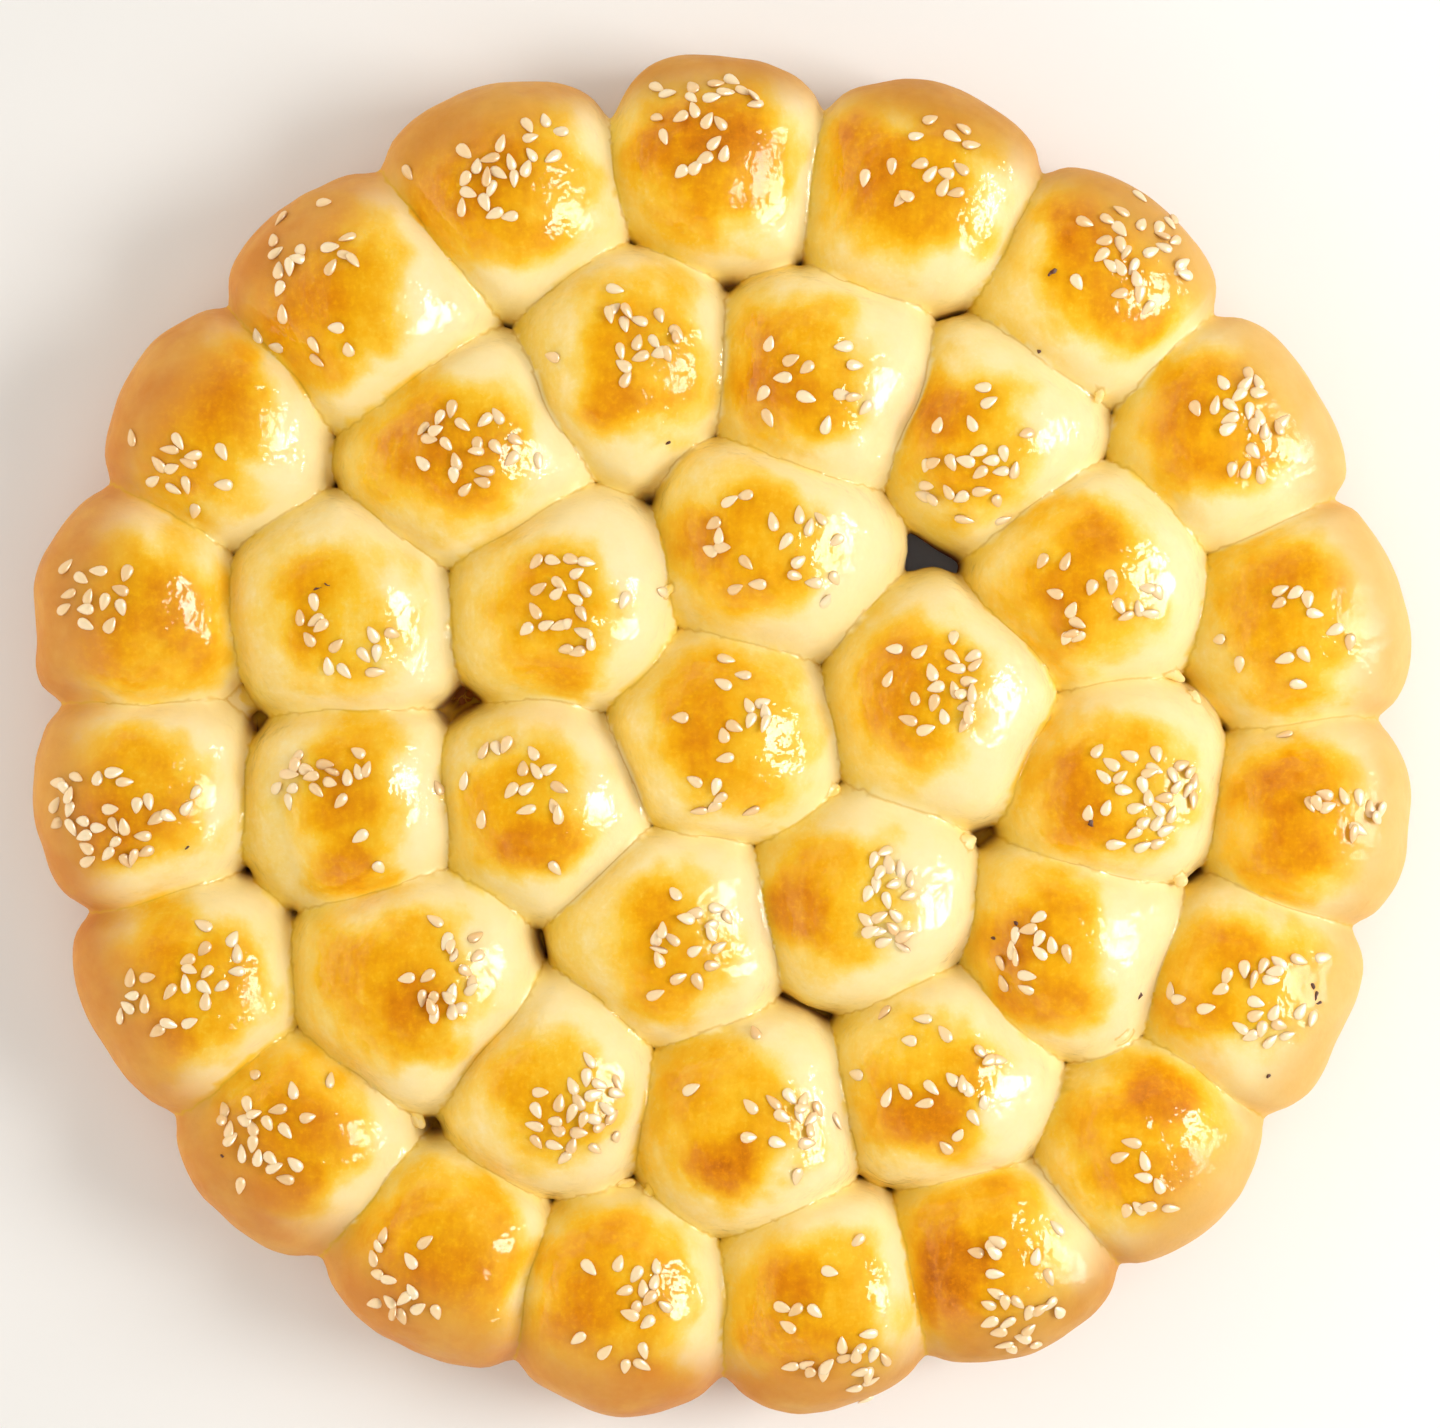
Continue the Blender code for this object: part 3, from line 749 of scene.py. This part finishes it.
material, tree, shader = new_material("egg-washed soft bread crust")
place = add_node(tree, "ShaderNodeTexCoord").outputs["Object"]
mottle = ranged(tree, noise(tree, place, MOTTLE_SIZE, detail=5, roughness=0.65), 0.3, 0.7, -1, 1)
flecks = ranged(tree, noise(tree, place, FLECK_SIZE, detail=3, roughness=0.6), 0.5, 0.72, 0, -1)
brushing = add_node(tree, "ShaderNodeMapping", Vector=place, Scale=(1, STREAK_STRETCH, 1)).outputs[0]
streaks = ranged(tree, noise(tree, brushing, STREAK_SIZE, detail=3, roughness=0.55), 0.3, 0.7, -1, 1)
uneven = calculate(tree, "MULTIPLY_ADD", mottle, MOTTLE_SHARE, 1.0)
uneven = calculate(tree, "MULTIPLY_ADD", flecks, FLECK_SHARE, uneven)
uneven = calculate(tree, "MULTIPLY_ADD", streaks, STREAK_SHARE, uneven)
baked = calculate(tree, "MULTIPLY", attribute(tree, "bake"), uneven)
baked = calculate(tree, "MULTIPLY_ADD", mottle, PALE_MOTTLE, baked)
# Painted shade darkens the valleys beside the creases.
rolls = covered(tree, colour_ramp(tree, baked, BAKED_COLOURS), "valley_shade", *VALLEY_SHADE)
# The left walls get painted shade and a painted warm reflection, and the right walls get painted light.
wall = covered(tree, colour(WALL_COLOUR), "left", *LEFT_WALL_SHADE)
wall = covered(tree, wall, "right", *RIGHT_WALL_LIGHT)
blotches = ranged(tree, noise(tree, place, BLOTCH_SIZE, detail=4, roughness=0.6), 0.38, 0.62, 0, 0.5)
blotches = calculate(tree, "MULTIPLY_ADD", mottle, BLOTCH_MOTTLE, blotches)
wall = covered(tree, mixed(tree, blotches, wall, colour(BLOTCH_COLOUR)), "base", *BASE)
outside = calculate(tree, "MULTIPLY", attribute(tree, "outer_side"), WALL_STRENGTH)
crust_colour = mixed(tree, outside, rolls, wall)
# Painted shade in the pits and crease bottoms.
crust_colour = covered(tree, crust_colour, "pit_shade", *PIT_SHADE)
# Painted shade along the crease lines.
crust_colour = covered(tree, crust_colour, "crease", *CREASE_SHADE)
crust_colour = covered(tree, crust_colour, "underside", *UNDERSIDE)
tree.links.new(crust_colour, shader.inputs["Base Color"])
pores = noise(tree, place, PORE_SIZE, detail=5, roughness=0.6)
lumps = noise(tree, place, LUMP_SIZE, detail=2)
relief = calculate(tree, "MULTIPLY_ADD", pores, PORE_SHARE, lumps)
skin_bump = add_node(tree, "ShaderNodeBump", Strength=0.5, Distance=SKIN_RELIEF * MM, Height=relief)
tree.links.new(skin_bump.outputs[0], shader.inputs["Normal"])
wrinkles = noise(tree, place, WRINKLE_SIZE, detail=3, roughness=0.5)
wash_bump = add_node(tree, "ShaderNodeBump", Strength=1.0, Distance=WASH_RELIEF * MM, Height=wrinkles)
tree.links.new(wash_bump.outputs[0], shader.inputs["Coat Normal"])
brushed = ranged(tree, noise(tree, place, BRUSHED_SIZE, detail=3, roughness=0.6), 0.35, 0.6, 0.45, 1.0)
tree.links.new(calculate(tree, "MULTIPLY", brushed, attribute(tree, "washed")), shader.inputs["Coat Weight"])
shader.inputs["Coat Roughness"].default_value = 0.04
shader.inputs["Coat IOR"].default_value = 1.3
shader.inputs["Roughness"].default_value = 0.5
shader.inputs["Specular IOR Level"].default_value = 0.05
shader.subsurface_method = "BURLEY"
shader.inputs["Subsurface Weight"].default_value = 0.5
shader.inputs["Subsurface Radius"].default_value = (1.0, 0.65, 0.3)
shader.inputs["Subsurface Scale"].default_value = CRUMB_GLOW * MM
joined.materials.clear()
joined.materials.append(material)
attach(crust, "root")
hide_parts("bread")


# The sesame. White seeds, flat and pointed at one end, were scattered by hand on the egg wash before the
# bread was baked. They lie in patches, each seed flat on the crust or on the seeds under it, and stuck to it.
SEED_LENGTH = 3.3
SEED_WIDTH = 2.1
SEED_THICKNESS = 1.25
SEED_COLUMNS = 10
SEED_LEVELS = 7
SEED_NARROWING = 0.62
NARROWING_POWER = 1.6
SEED_BLUNTNESS = 0.9
SEED_FULLNESS = 1.14
SIZE_STRAY = 0.06
SIZE_LIMITS = (0.85, 1.15)
SEED_LIFT = 0.12
SEED_TILT = 0.16
PILE_DISTANCE = 2.1
PILE_LIFT = 0.5
PILE_TILT = 1.5
PILE_LAYERS = 2
LAST_SEEDS = 40
PICTURE_CENTRE = (720, 714)
SHADED_EDGE = (0.12, -0.3)
DARK_TIP = (0.9, 1.8)
HULL_COLOURS = ((0.0, "fae4bc"), (0.6, "f7d6a2"), (1.0, "ecc286"))
TIP = (0.35, "d9a862")
# Painted shade under each seed where it sits on the crust, and partly a toasted rim of egg wash.
SEED_UNDERSIDE_SHADE = (0.9, "a96a1e")
HULL_GLOW = 0.8

# Where each seed lies, roll by roll, as pairs of across and down in the picture.
SEED_PLACES = (
    (408, 172, 546, 120, 528, 126, 530, 137, 560, 132, 501, 144, 465, 153, 490, 158, 531, 154, 553, 158,
     477, 166, 511, 163, 498, 173, 526, 169, 488, 177, 515, 178, 466, 180, 491, 189, 469, 193, 486, 202,
     463, 207, 495, 214, 510, 217),
    (657, 87, 668, 93, 693, 87, 692, 99, 695, 110, 715, 84, 732, 80, 711, 97, 727, 93, 743, 92, 755, 104,
     750, 99, 658, 119, 680, 118, 664, 137, 707, 121, 721, 123, 715, 143, 724, 153, 705, 159, 696, 168,
     682, 171),
    (931, 120, 916, 136, 892, 166, 864, 179, 899, 199, 907, 197, 920, 165, 930, 174, 952, 136, 964, 130,
     971, 146, 946, 174, 962, 168, 944, 188, 955, 193),
    (1140, 197, 1084, 223, 1108, 219, 1122, 212, 1119, 229, 1141, 224, 1103, 241, 1122, 245, 1158, 229,
     1169, 224, 1162, 238, 1174, 241, 1150, 253, 1163, 248, 1101, 255, 1110, 265, 1120, 268, 1127, 255,
     1134, 267, 1136, 278, 1179, 270, 1182, 275, 1077, 283, 1119, 294, 1140, 294, 1147, 308, 1174, 220,
     1181, 263),
    (1223, 382, 1248, 375, 1244, 384, 1258, 382, 1258, 394, 1239, 396, 1231, 406, 1215, 406, 1195, 408,
     1229, 418, 1248, 411, 1227, 429, 1260, 418, 1255, 427, 1265, 432, 1282, 422, 1277, 430, 1253, 451,
     1232, 469, 1246, 470, 1260, 475),
    (1281, 591, 1279, 604, 1295, 594, 1307, 599, 1316, 614, 1335, 631, 1349, 642, 1219, 639, 1240, 664,
     1285, 659, 1305, 654, 1298, 685),
    (1285, 736, 1311, 805, 1325, 794, 1327, 807, 1344, 797, 1360, 798, 1370, 808, 1379, 810, 1372, 818,
     1359, 830, 1351, 834, 1317, 799),
    (1298, 959, 1279, 962, 1263, 967, 1244, 970, 1227, 977, 1220, 990, 1251, 979, 1272, 979, 1277, 971,
     1206, 1008, 1179, 1000, 1170, 991, 1322, 957, 1301, 1012, 1311, 1019, 1256, 1002, 1255, 1015,
     1275, 1012, 1241, 1027, 1262, 1029, 1279, 1024, 1287, 1036, 1270, 1041, 1251, 1036),
    (1132, 1142, 1119, 1157, 1145, 1162, 1143, 1178, 1158, 1186, 1139, 1207, 1127, 1212, 1170, 1207,
     1148, 1205),
    (993, 1244, 998, 1241, 976, 1253, 991, 1251, 995, 1273, 1037, 1257, 1050, 1277, 995, 1293, 1004, 1301,
     988, 1305, 1017, 1303, 1029, 1313, 1050, 1303, 1058, 1310, 990, 1322, 1008, 1323, 1029, 1329,
     998, 1332, 1022, 1337, 1036, 1345, 1005, 1344, 1012, 1348, 1039, 1308, 1057, 1227),
    (857, 1241, 782, 1307, 796, 1311, 815, 1312, 788, 1327, 868, 1333, 841, 1346, 845, 1358, 855, 1354,
     874, 1355, 884, 1358, 791, 1366, 807, 1363, 810, 1371, 823, 1374, 828, 1366, 860, 1373, 866, 1374,
     853, 1389, 865, 1398, 871, 1381, 860, 1352, 829, 1272),
    (590, 1267, 619, 1263, 637, 1274, 657, 1266, 624, 1291, 643, 1288, 635, 1309, 647, 1322, 665, 1306,
     579, 1338, 606, 1351, 644, 1351, 626, 1366, 643, 1365, 648, 1298, 629, 1314, 654, 1282),
    (384, 1235, 380, 1243, 373, 1258, 377, 1274, 390, 1280, 426, 1242, 410, 1260, 412, 1292, 406, 1299,
     390, 1302, 374, 1303, 419, 1309, 436, 1312, 402, 1316, 397, 1312),
    (254, 1074, 293, 1091, 330, 1080, 308, 1118, 225, 1109, 222, 1119, 247, 1105, 244, 1121, 255, 1115,
     253, 1129, 278, 1109, 268, 1124, 286, 1132, 229, 1129, 232, 1141, 253, 1144, 242, 1154, 259, 1158,
     270, 1158, 275, 1169, 295, 1164, 285, 1179, 240, 1185),
    (204, 925, 205, 949, 232, 940, 237, 954, 187, 960, 131, 978, 148, 977, 189, 972, 206, 973, 236, 971,
     185, 984, 170, 991, 205, 987, 222, 986, 132, 996, 145, 1004, 205, 1002, 128, 1007, 121, 1016,
     157, 1031, 170, 1023, 189, 1022),
    (57, 784, 66, 786, 77, 777, 97, 778, 114, 773, 125, 781, 56, 804, 71, 796, 70, 810, 57, 824, 71, 828,
     82, 820, 111, 810, 136, 806, 149, 802, 156, 818, 168, 817, 114, 826, 124, 826, 98, 827, 85, 836,
     87, 848, 88, 860, 107, 854, 114, 843, 126, 861, 131, 855, 143, 836, 145, 852, 195, 792, 187, 807),
    (67, 566, 81, 578, 98, 571, 127, 574, 120, 589, 68, 595, 88, 597, 105, 601, 64, 609, 86, 609,
     121, 607, 86, 624, 110, 625),
    (132, 438, 169, 450, 179, 442, 158, 464, 171, 469, 188, 462, 193, 454, 153, 480, 187, 485, 174, 489,
     223, 451, 223, 485, 196, 510),
    (325, 203, 281, 219, 273, 240, 276, 253, 302, 250, 297, 259, 279, 271, 291, 267, 280, 288, 282, 314,
     330, 247, 347, 238, 346, 255, 351, 263, 331, 267, 257, 337, 277, 348, 314, 346, 318, 360, 335, 328,
     349, 349),
    (452, 410, 439, 418, 423, 429, 430, 438, 437, 430, 447, 445, 477, 445, 484, 420, 498, 417, 474, 454,
     423, 462, 455, 462, 454, 475, 485, 471, 483, 481, 466, 490, 515, 440, 511, 459, 539, 462, 462, 425,
     497, 448),
    (616, 290, 659, 316, 614, 309, 609, 317, 625, 325, 638, 320, 624, 314, 638, 343, 654, 341, 676, 332,
     673, 338, 621, 352, 641, 357, 659, 352, 668, 354, 624, 365, 625, 378, 552, 356),
    (770, 345, 791, 360, 806, 367, 783, 378, 764, 394, 806, 397, 769, 419, 826, 424, 842, 395, 853, 394,
     865, 407, 855, 365, 844, 346),
    (982, 387, 939, 424, 972, 424, 1027, 433, 979, 451, 1003, 453, 926, 465, 935, 463, 951, 463, 965, 460,
     990, 461, 1000, 472, 980, 472, 1014, 470, 926, 486, 924, 496, 934, 498, 948, 492, 962, 498, 981, 491,
     996, 501, 965, 520, 1002, 520, 990, 403),
    (1043, 561, 1066, 561, 1055, 594, 1092, 587, 1111, 578, 1114, 585, 1119, 607, 1072, 610, 1077, 622,
     1067, 638, 1079, 636, 1124, 615, 1146, 588, 1157, 593, 1138, 608, 1070, 629, 1148, 612),
    (1097, 750, 1111, 763, 1130, 756, 1103, 776, 1120, 776, 1124, 791, 1157, 755, 1154, 769, 1172, 775,
     1182, 765, 1143, 786, 1148, 798, 1136, 808, 1107, 808, 1088, 812, 1163, 798, 1157, 808, 1143, 822,
     1157, 822, 1172, 815, 1134, 832, 1143, 846, 1158, 843, 1115, 844, 1167, 830, 1186, 791, 1193, 781,
     1191, 801, 1188, 770, 1175, 786, 1150, 774),
    (1039, 918, 1028, 929, 1015, 936, 1038, 938, 1011, 950, 1019, 957, 1040, 952, 1052, 945, 1068, 954,
     1002, 964, 1028, 976, 1003, 983, 1026, 988),
    (885, 1013, 922, 1020, 909, 1041, 945, 1033, 856, 1075, 888, 1097, 904, 1092, 924, 1103, 932, 1089,
     946, 1148, 981, 1053, 988, 1062, 998, 1060, 953, 1079, 960, 1084, 967, 1087, 984, 1101, 974, 1117,
     959, 1135),
    (692, 1090, 751, 1107, 774, 1102, 790, 1097, 782, 1116, 799, 1115, 804, 1100, 810, 1119, 748, 1137,
     778, 1143, 807, 1143, 796, 1177, 801, 1110, 809, 1130, 818, 1110, 837, 1121, 756, 1032),
    (589, 1060, 541, 1092, 536, 1110, 534, 1126, 536, 1142, 560, 1103, 573, 1086, 587, 1078, 600, 1084,
     617, 1083, 616, 1094, 593, 1094, 578, 1102, 571, 1113, 555, 1122, 558, 1131, 578, 1132, 592, 1119,
     611, 1116, 617, 1137, 555, 1145, 571, 1146, 565, 1157, 595, 1148, 582, 1119, 606, 1107, 600, 1126),
    (434, 920, 446, 942, 451, 949, 458, 957, 475, 937, 477, 956, 406, 979, 428, 977, 466, 972, 471, 981,
     470, 988, 451, 993, 421, 999, 434, 998, 448, 999, 460, 1008, 453, 1011, 434, 1014, 429, 1005),
    (298, 758, 295, 766, 290, 775, 277, 788, 292, 788, 289, 802, 306, 769, 312, 775, 325, 764, 333, 769,
     317, 790, 332, 783, 348, 778, 357, 753, 359, 772, 368, 769, 341, 801, 360, 837, 438, 788, 378, 868),
    (314, 602, 301, 617, 316, 621, 310, 640, 336, 645, 373, 635, 392, 633, 365, 656, 376, 654, 329, 665,
     344, 671, 375, 672, 322, 626),
    (536, 562, 553, 561, 571, 560, 587, 562, 578, 574, 560, 584, 584, 589, 539, 589, 558, 592, 576, 598,
     535, 611, 581, 613, 527, 629, 547, 625, 559, 625, 571, 622, 584, 633, 565, 649, 578, 652, 590, 641,
     624, 601, 662, 592),
    (745, 495, 729, 501, 713, 523, 720, 536, 710, 551, 723, 548, 747, 562, 758, 585, 736, 589, 773, 522,
     785, 541, 799, 562, 820, 519, 799, 514, 796, 576, 810, 527, 836, 541, 814, 582, 834, 579, 826, 601),
    (953, 639, 919, 652, 953, 658, 972, 657, 977, 667, 957, 668, 931, 673, 936, 687, 914, 697, 934, 703,
     955, 689, 960, 696, 969, 682, 972, 693, 909, 719, 944, 717, 965, 707, 926, 729, 964, 725, 967, 715,
     895, 649, 889, 678),
    (884, 852, 874, 861, 900, 868, 880, 874, 911, 880, 893, 885, 868, 895, 887, 900, 909, 896, 865, 919,
     880, 916, 896, 916, 879, 931, 904, 936, 884, 942, 903, 944, 871, 931, 888, 864, 876, 885, 893, 927),
    (675, 893, 717, 909, 694, 914, 684, 920, 711, 925, 727, 917, 657, 938, 673, 939, 659, 947, 657, 960,
     694, 950, 719, 947, 713, 965, 678, 979, 697, 981, 656, 995, 710, 932, 665, 931),
    (485, 751, 496, 748, 507, 745, 533, 753, 523, 769, 535, 770, 550, 770, 526, 788, 511, 791, 560, 788,
     526, 810, 554, 807, 558, 814, 465, 780, 481, 820, 555, 868),
    (727, 660, 743, 675, 724, 683, 748, 705, 763, 704, 766, 711, 750, 721, 763, 723, 735, 726, 724, 735,
     726, 759, 680, 718, 694, 780, 715, 786, 719, 798, 699, 810, 713, 806, 751, 810),
)


def seed_skin():
    """A flat seed's points, in rings from its round end at the left to its tip: the half width goes with the
    sine of a polar angle and narrows towards the tip, and the thickness follows the width."""
    polar = np.pi * np.arange(1, SEED_LEVELS) / SEED_LEVELS
    along = -np.cos(polar)
    narrowed = 1 - SEED_NARROWING * ((1 + along) / 2) ** NARROWING_POWER
    half = np.sin(polar) ** SEED_BLUNTNESS * narrowed * SEED_FULLNESS
    turn = np.arange(SEED_COLUMNS) * math.tau / SEED_COLUMNS
    rings = np.stack([
        np.broadcast_to(along[:, None] * SEED_LENGTH / 2, (len(polar), SEED_COLUMNS)),
        half[:, None] * np.sin(turn) * SEED_WIDTH / 2,
        half[:, None] * np.cos(turn) * SEED_THICKNESS / 2,
    ], axis=2)
    return np.concatenate([[(-SEED_LENGTH / 2, 0, 0)], rings.reshape(-1, 3), [(SEED_LENGTH / 2, 0, 0)]])


def repeated(faces, count):
    """The faces of as many copies of one closed skin, whose points follow each other in one list."""
    size = 1 + max(max(face) for face in faces)
    return [tuple(size * copy + corner for corner in face) for copy in range(count) for face in faces]


def pixel_ray(across, down):
    """The line from the camera through a place in the picture: where it starts and which way it goes."""
    start = np.array([*in_picture(*PICTURE_CENTRE, WIDEST_LEVEL), PICTURE_HEIGHT])
    way = np.array([*in_picture(across, down, WIDEST_LEVEL), WIDEST_LEVEL]) - start
    return start, way / np.linalg.norm(way)


def seed_stands(surface, draw):
    """Where each seed lies and how it is turned: its middle and the three directions of its length, its
    width and its thickness. A seed that meets others lies on them, more tilted."""
    middles, frames = [], []
    for row in SEED_PLACES:
        for across, down in np.array(row).reshape(-1, 2):
            start, way = pixel_ray(across + draw.uniform(-1, 1), down + draw.uniform(-1, 1))
            spot, normal, _, _ = surface.ray_cast(Vector(start * MM), Vector(way))
            spot, normal = np.array(spot) / MM, np.array(normal)
            under = sum(np.linalg.norm(spot - other) < PILE_DISTANCE for other in middles[-LAST_SEEDS:])
            lift = SEED_LIFT + PILE_LIFT * min(under, PILE_LAYERS)
            normal = normal + draw.normal(size=3) * SEED_TILT * (1 + PILE_TILT * min(under, 1))
            normal /= np.linalg.norm(normal)
            turn = draw.uniform(0, math.tau)
            length = np.array([math.cos(turn), math.sin(turn), 0])
            length -= normal * (length @ normal)
            length /= np.linalg.norm(length)
            middles.append(spot + normal * lift)
            frames.append([length, np.cross(normal, length), normal])
    return np.array(middles), np.array(frames)


surface = BVHTree.FromObject(crust, bpy.context.evaluated_depsgraph_get())
draw = np.random.default_rng(7)
middles, frames = seed_stands(surface, draw)
skin = seed_skin()
scales = draw.normal(1, SIZE_STRAY, (len(middles), 3)).clip(*SIZE_LIMITS)
placed = middles[:, None] + np.einsum("svk,skc->svc", skin[None] * scales[:, None], frames)
seed_faces = repeated(ring_faces(SEED_LEVELS - 1, SEED_COLUMNS), len(placed))
sesame = new_object("sesame", placed.reshape(-1, 3), seed_faces)
sesame.data.shade_smooth()
add_attribute(sesame.data, "tint", np.repeat(draw.uniform(0, 1, len(middles)), len(skin)))
add_attribute(sesame.data, "edge", np.tile(eased(skin[:, 2], *SHADED_EDGE), len(middles)))
add_attribute(sesame.data, "tip", np.tile(eased(skin[:, 0], *DARK_TIP), len(middles)))

# Toasted hulls: cream to tan, satin rather than glossy, browner at the tips, and darker underneath.
material, tree, shader = new_material("toasted white sesame")
hull = colour_ramp(tree, attribute(tree, "tint"), HULL_COLOURS)
# Each seed's underside is darker: painted shade where it sits on the crust, and partly toasted egg wash.
hull = covered(tree, covered(tree, hull, "tip", *TIP), "edge", *SEED_UNDERSIDE_SHADE)
tree.links.new(hull, shader.inputs["Base Color"])
shader.inputs["Roughness"].default_value = 0.4
shader.inputs["Coat Weight"].default_value = 0.35
shader.inputs["Coat Roughness"].default_value = 0.2
shader.inputs["Subsurface Weight"].default_value = 0.15
shader.inputs["Subsurface Radius"].default_value = (1.0, 0.7, 0.4)
shader.inputs["Subsurface Scale"].default_value = HULL_GLOW * MM
sesame.data.materials.append(material)
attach(sesame, "root")


# The char. Crumbs of flour and loose dough that burnt on the crust: thin, dull, dark brown flecks, baked onto
# it. Each is its place (across, down in the picture), its length and width in millimetres, and its turn.
CHAR_COLUMNS = 10
CHAR_LEVELS = 8
CHAR_THICKNESS = 0.35
CHAR_LUMPS = 0.1
CHAR_WAVES = ((1.2, 0.6, 41), (1.2, 0.6, 42), (1.2, 0.6, 43))
CHAR_FLECKS = (
    (1053, 272, 1.9, 0.8, 28), (1050, 274, 1, 0.7, 60), (1313, 986, 1.5, 0.55, 105),
    (1316, 995, 1.4, 0.6, 80), (1319, 1003, 1.2, 0.6, 20), (1268, 1076, 0.8, 0.6, 0),
    (1140, 995, 1.4, 0.8, 60), (1091, 823, 1.6, 0.7, 100), (187, 848, 0.8, 0.6, 30),
    (222, 1156, 0.8, 0.6, 0), (668, 443, 0.8, 0.6, 0), (1016, 923, 1.2, 0.8, 150),
    (993, 938, 0.9, 0.7, 0), (1039, 351, 0.8, 0.5, 0), (318, 588, 1.7, 0.35, 15),
    (327, 585, 1.2, 0.3, -20),
)


def char_points(surface, across, down, length, width, turn):
    """The points of a fleck: a flattened ball laid on the crust and turned on it."""
    start, way = pixel_ray(across, down)
    spot, normal, _, _ = surface.ray_cast(Vector(start * MM), Vector(way))
    spot, normal = np.array(spot) / MM, np.array(normal)
    along = np.array([math.cos(math.radians(turn)), math.sin(math.radians(turn)), 0])
    along -= normal * (along @ normal)
    along /= np.linalg.norm(along)
    ball = ball_skin(CHAR_COLUMNS, CHAR_LEVELS) * (length / 2, width / 2, CHAR_THICKNESS)
    return spot + ball @ np.array([along, np.cross(normal, along), normal])


flecks = np.concatenate([char_points(surface, *fleck) for fleck in CHAR_FLECKS])
flecks += CHAR_LUMPS * np.stack([waves(flecks, *field) for field in CHAR_WAVES], axis=1)
char = new_object("char", flecks, repeated(ring_faces(CHAR_LEVELS - 1, CHAR_COLUMNS), len(CHAR_FLECKS)))
char.data.shade_smooth()
material, tree, shader = new_material("charred flour")
shader.inputs["Base Color"].default_value = colour("55260c")
shader.inputs["Roughness"].default_value = 0.75
char.data.materials.append(material)
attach(char, "root")


# The table, the light and the camera. The top is plain, matte and nearly white, so it mirrors nothing. A
# window on the right lights the bread, a larger warm glare round it shows only in the gloss, and a wide panel
# overhead isn't mirrored. The room is bright low down, dark overhead and darker to the right.
TABLE_SIZE = 3000
TABLE_CORNERS = ((-1, -1, 0), (1, -1, 0), (1, 1, 0), (-1, 1, 0))
floor = new_object("table", np.array(TABLE_CORNERS, float) * TABLE_SIZE, [(0, 1, 2, 3)])
material, tree, shader = new_material("matte white table top")
shader.inputs["Base Color"].default_value = colour("f4f2ee")
shader.inputs["Roughness"].default_value = 0.8
floor.data.materials.append(material)

# Places and sizes of the lights are in metres, and their powers in watts.
BREAD = (0, 0, 0.02)
GLARE_COLOUR = (1, 0.93, 0.82)
ROOM_COLOUR = (1, 0.97, 0.92, 1)
BRIGHT_BELOW, DARK_ABOVE = 0.2, 0.9
BRIGHTEST, DARKEST = 1.45, 0.1
DARKER_RIGHT = -0.65


def add_window(name, place, target, width, height, power):
    """A rectangular light that faces the target."""
    light = bpy.data.lights.new(name, "AREA")
    light.shape = "RECTANGLE"
    light.size, light.size_y = width, height
    light.energy = power
    lamp = bpy.data.objects.new(name, light)
    lamp.location = place
    lamp.rotation_euler = (Vector(target) - Vector(place)).to_track_quat("-Z", "Y").to_euler()
    bpy.context.scene.collection.objects.link(lamp)
    return lamp


add_window("window", place=(0.75, -0.02, 0.62), target=BREAD, width=0.44, height=0.4, power=5.7)
glare = add_window("sky_glare", place=(0.76, -0.02, 0.6), target=BREAD, width=0.66, height=0.56, power=36)
glare.data.color = GLARE_COLOUR
glare.visible_diffuse = False
ceiling = add_window("ceiling", place=(0, 0, 1.6), target=BREAD, width=1.6, height=1.6, power=6.1)
ceiling.visible_glossy = False

world = bpy.data.worlds.new("room")
world.use_nodes = True
room = world.node_tree
direction = add_node(room, "ShaderNodeTexCoord").outputs["Generated"]
axes = add_node(room, "ShaderNodeSeparateXYZ", Vector=direction).outputs
limits = {"From_Min": BRIGHT_BELOW, "From_Max": DARK_ABOVE, "To_Min": BRIGHTEST, "To_Max": DARKEST}
smooth = {"interpolation_type": "SMOOTHSTEP"}
upright = add_node(room, "ShaderNodeMapRange", smooth, Value=axes["Z"], **limits).outputs["Result"]
sideways = calculate(room, "MULTIPLY_ADD", axes["X"], DARKER_RIGHT, 1.0)
room.nodes["Background"].inputs["Color"].default_value = ROOM_COLOUR
room.links.new(calculate(room, "MULTIPLY", upright, sideways), room.nodes["Background"].inputs["Strength"])
bpy.context.scene.world = world
bpy.context.scene.view_settings.view_transform = "Standard"

# The camera looks straight down on the middle of the picture.
CAMERA_PLACE = (0.00054, 0.00378, 0.6)
LENS = 81.25
SENSOR_WIDTH = 36
NEAREST = 0.01
camera = bpy.data.objects.new("camera", bpy.data.cameras.new("camera"))
camera.data.lens = LENS
camera.data.sensor_width = SENSOR_WIDTH
camera.data.clip_start = NEAREST
camera.location = CAMERA_PLACE
bpy.context.scene.collection.objects.link(camera)
bpy.context.scene.camera = camera
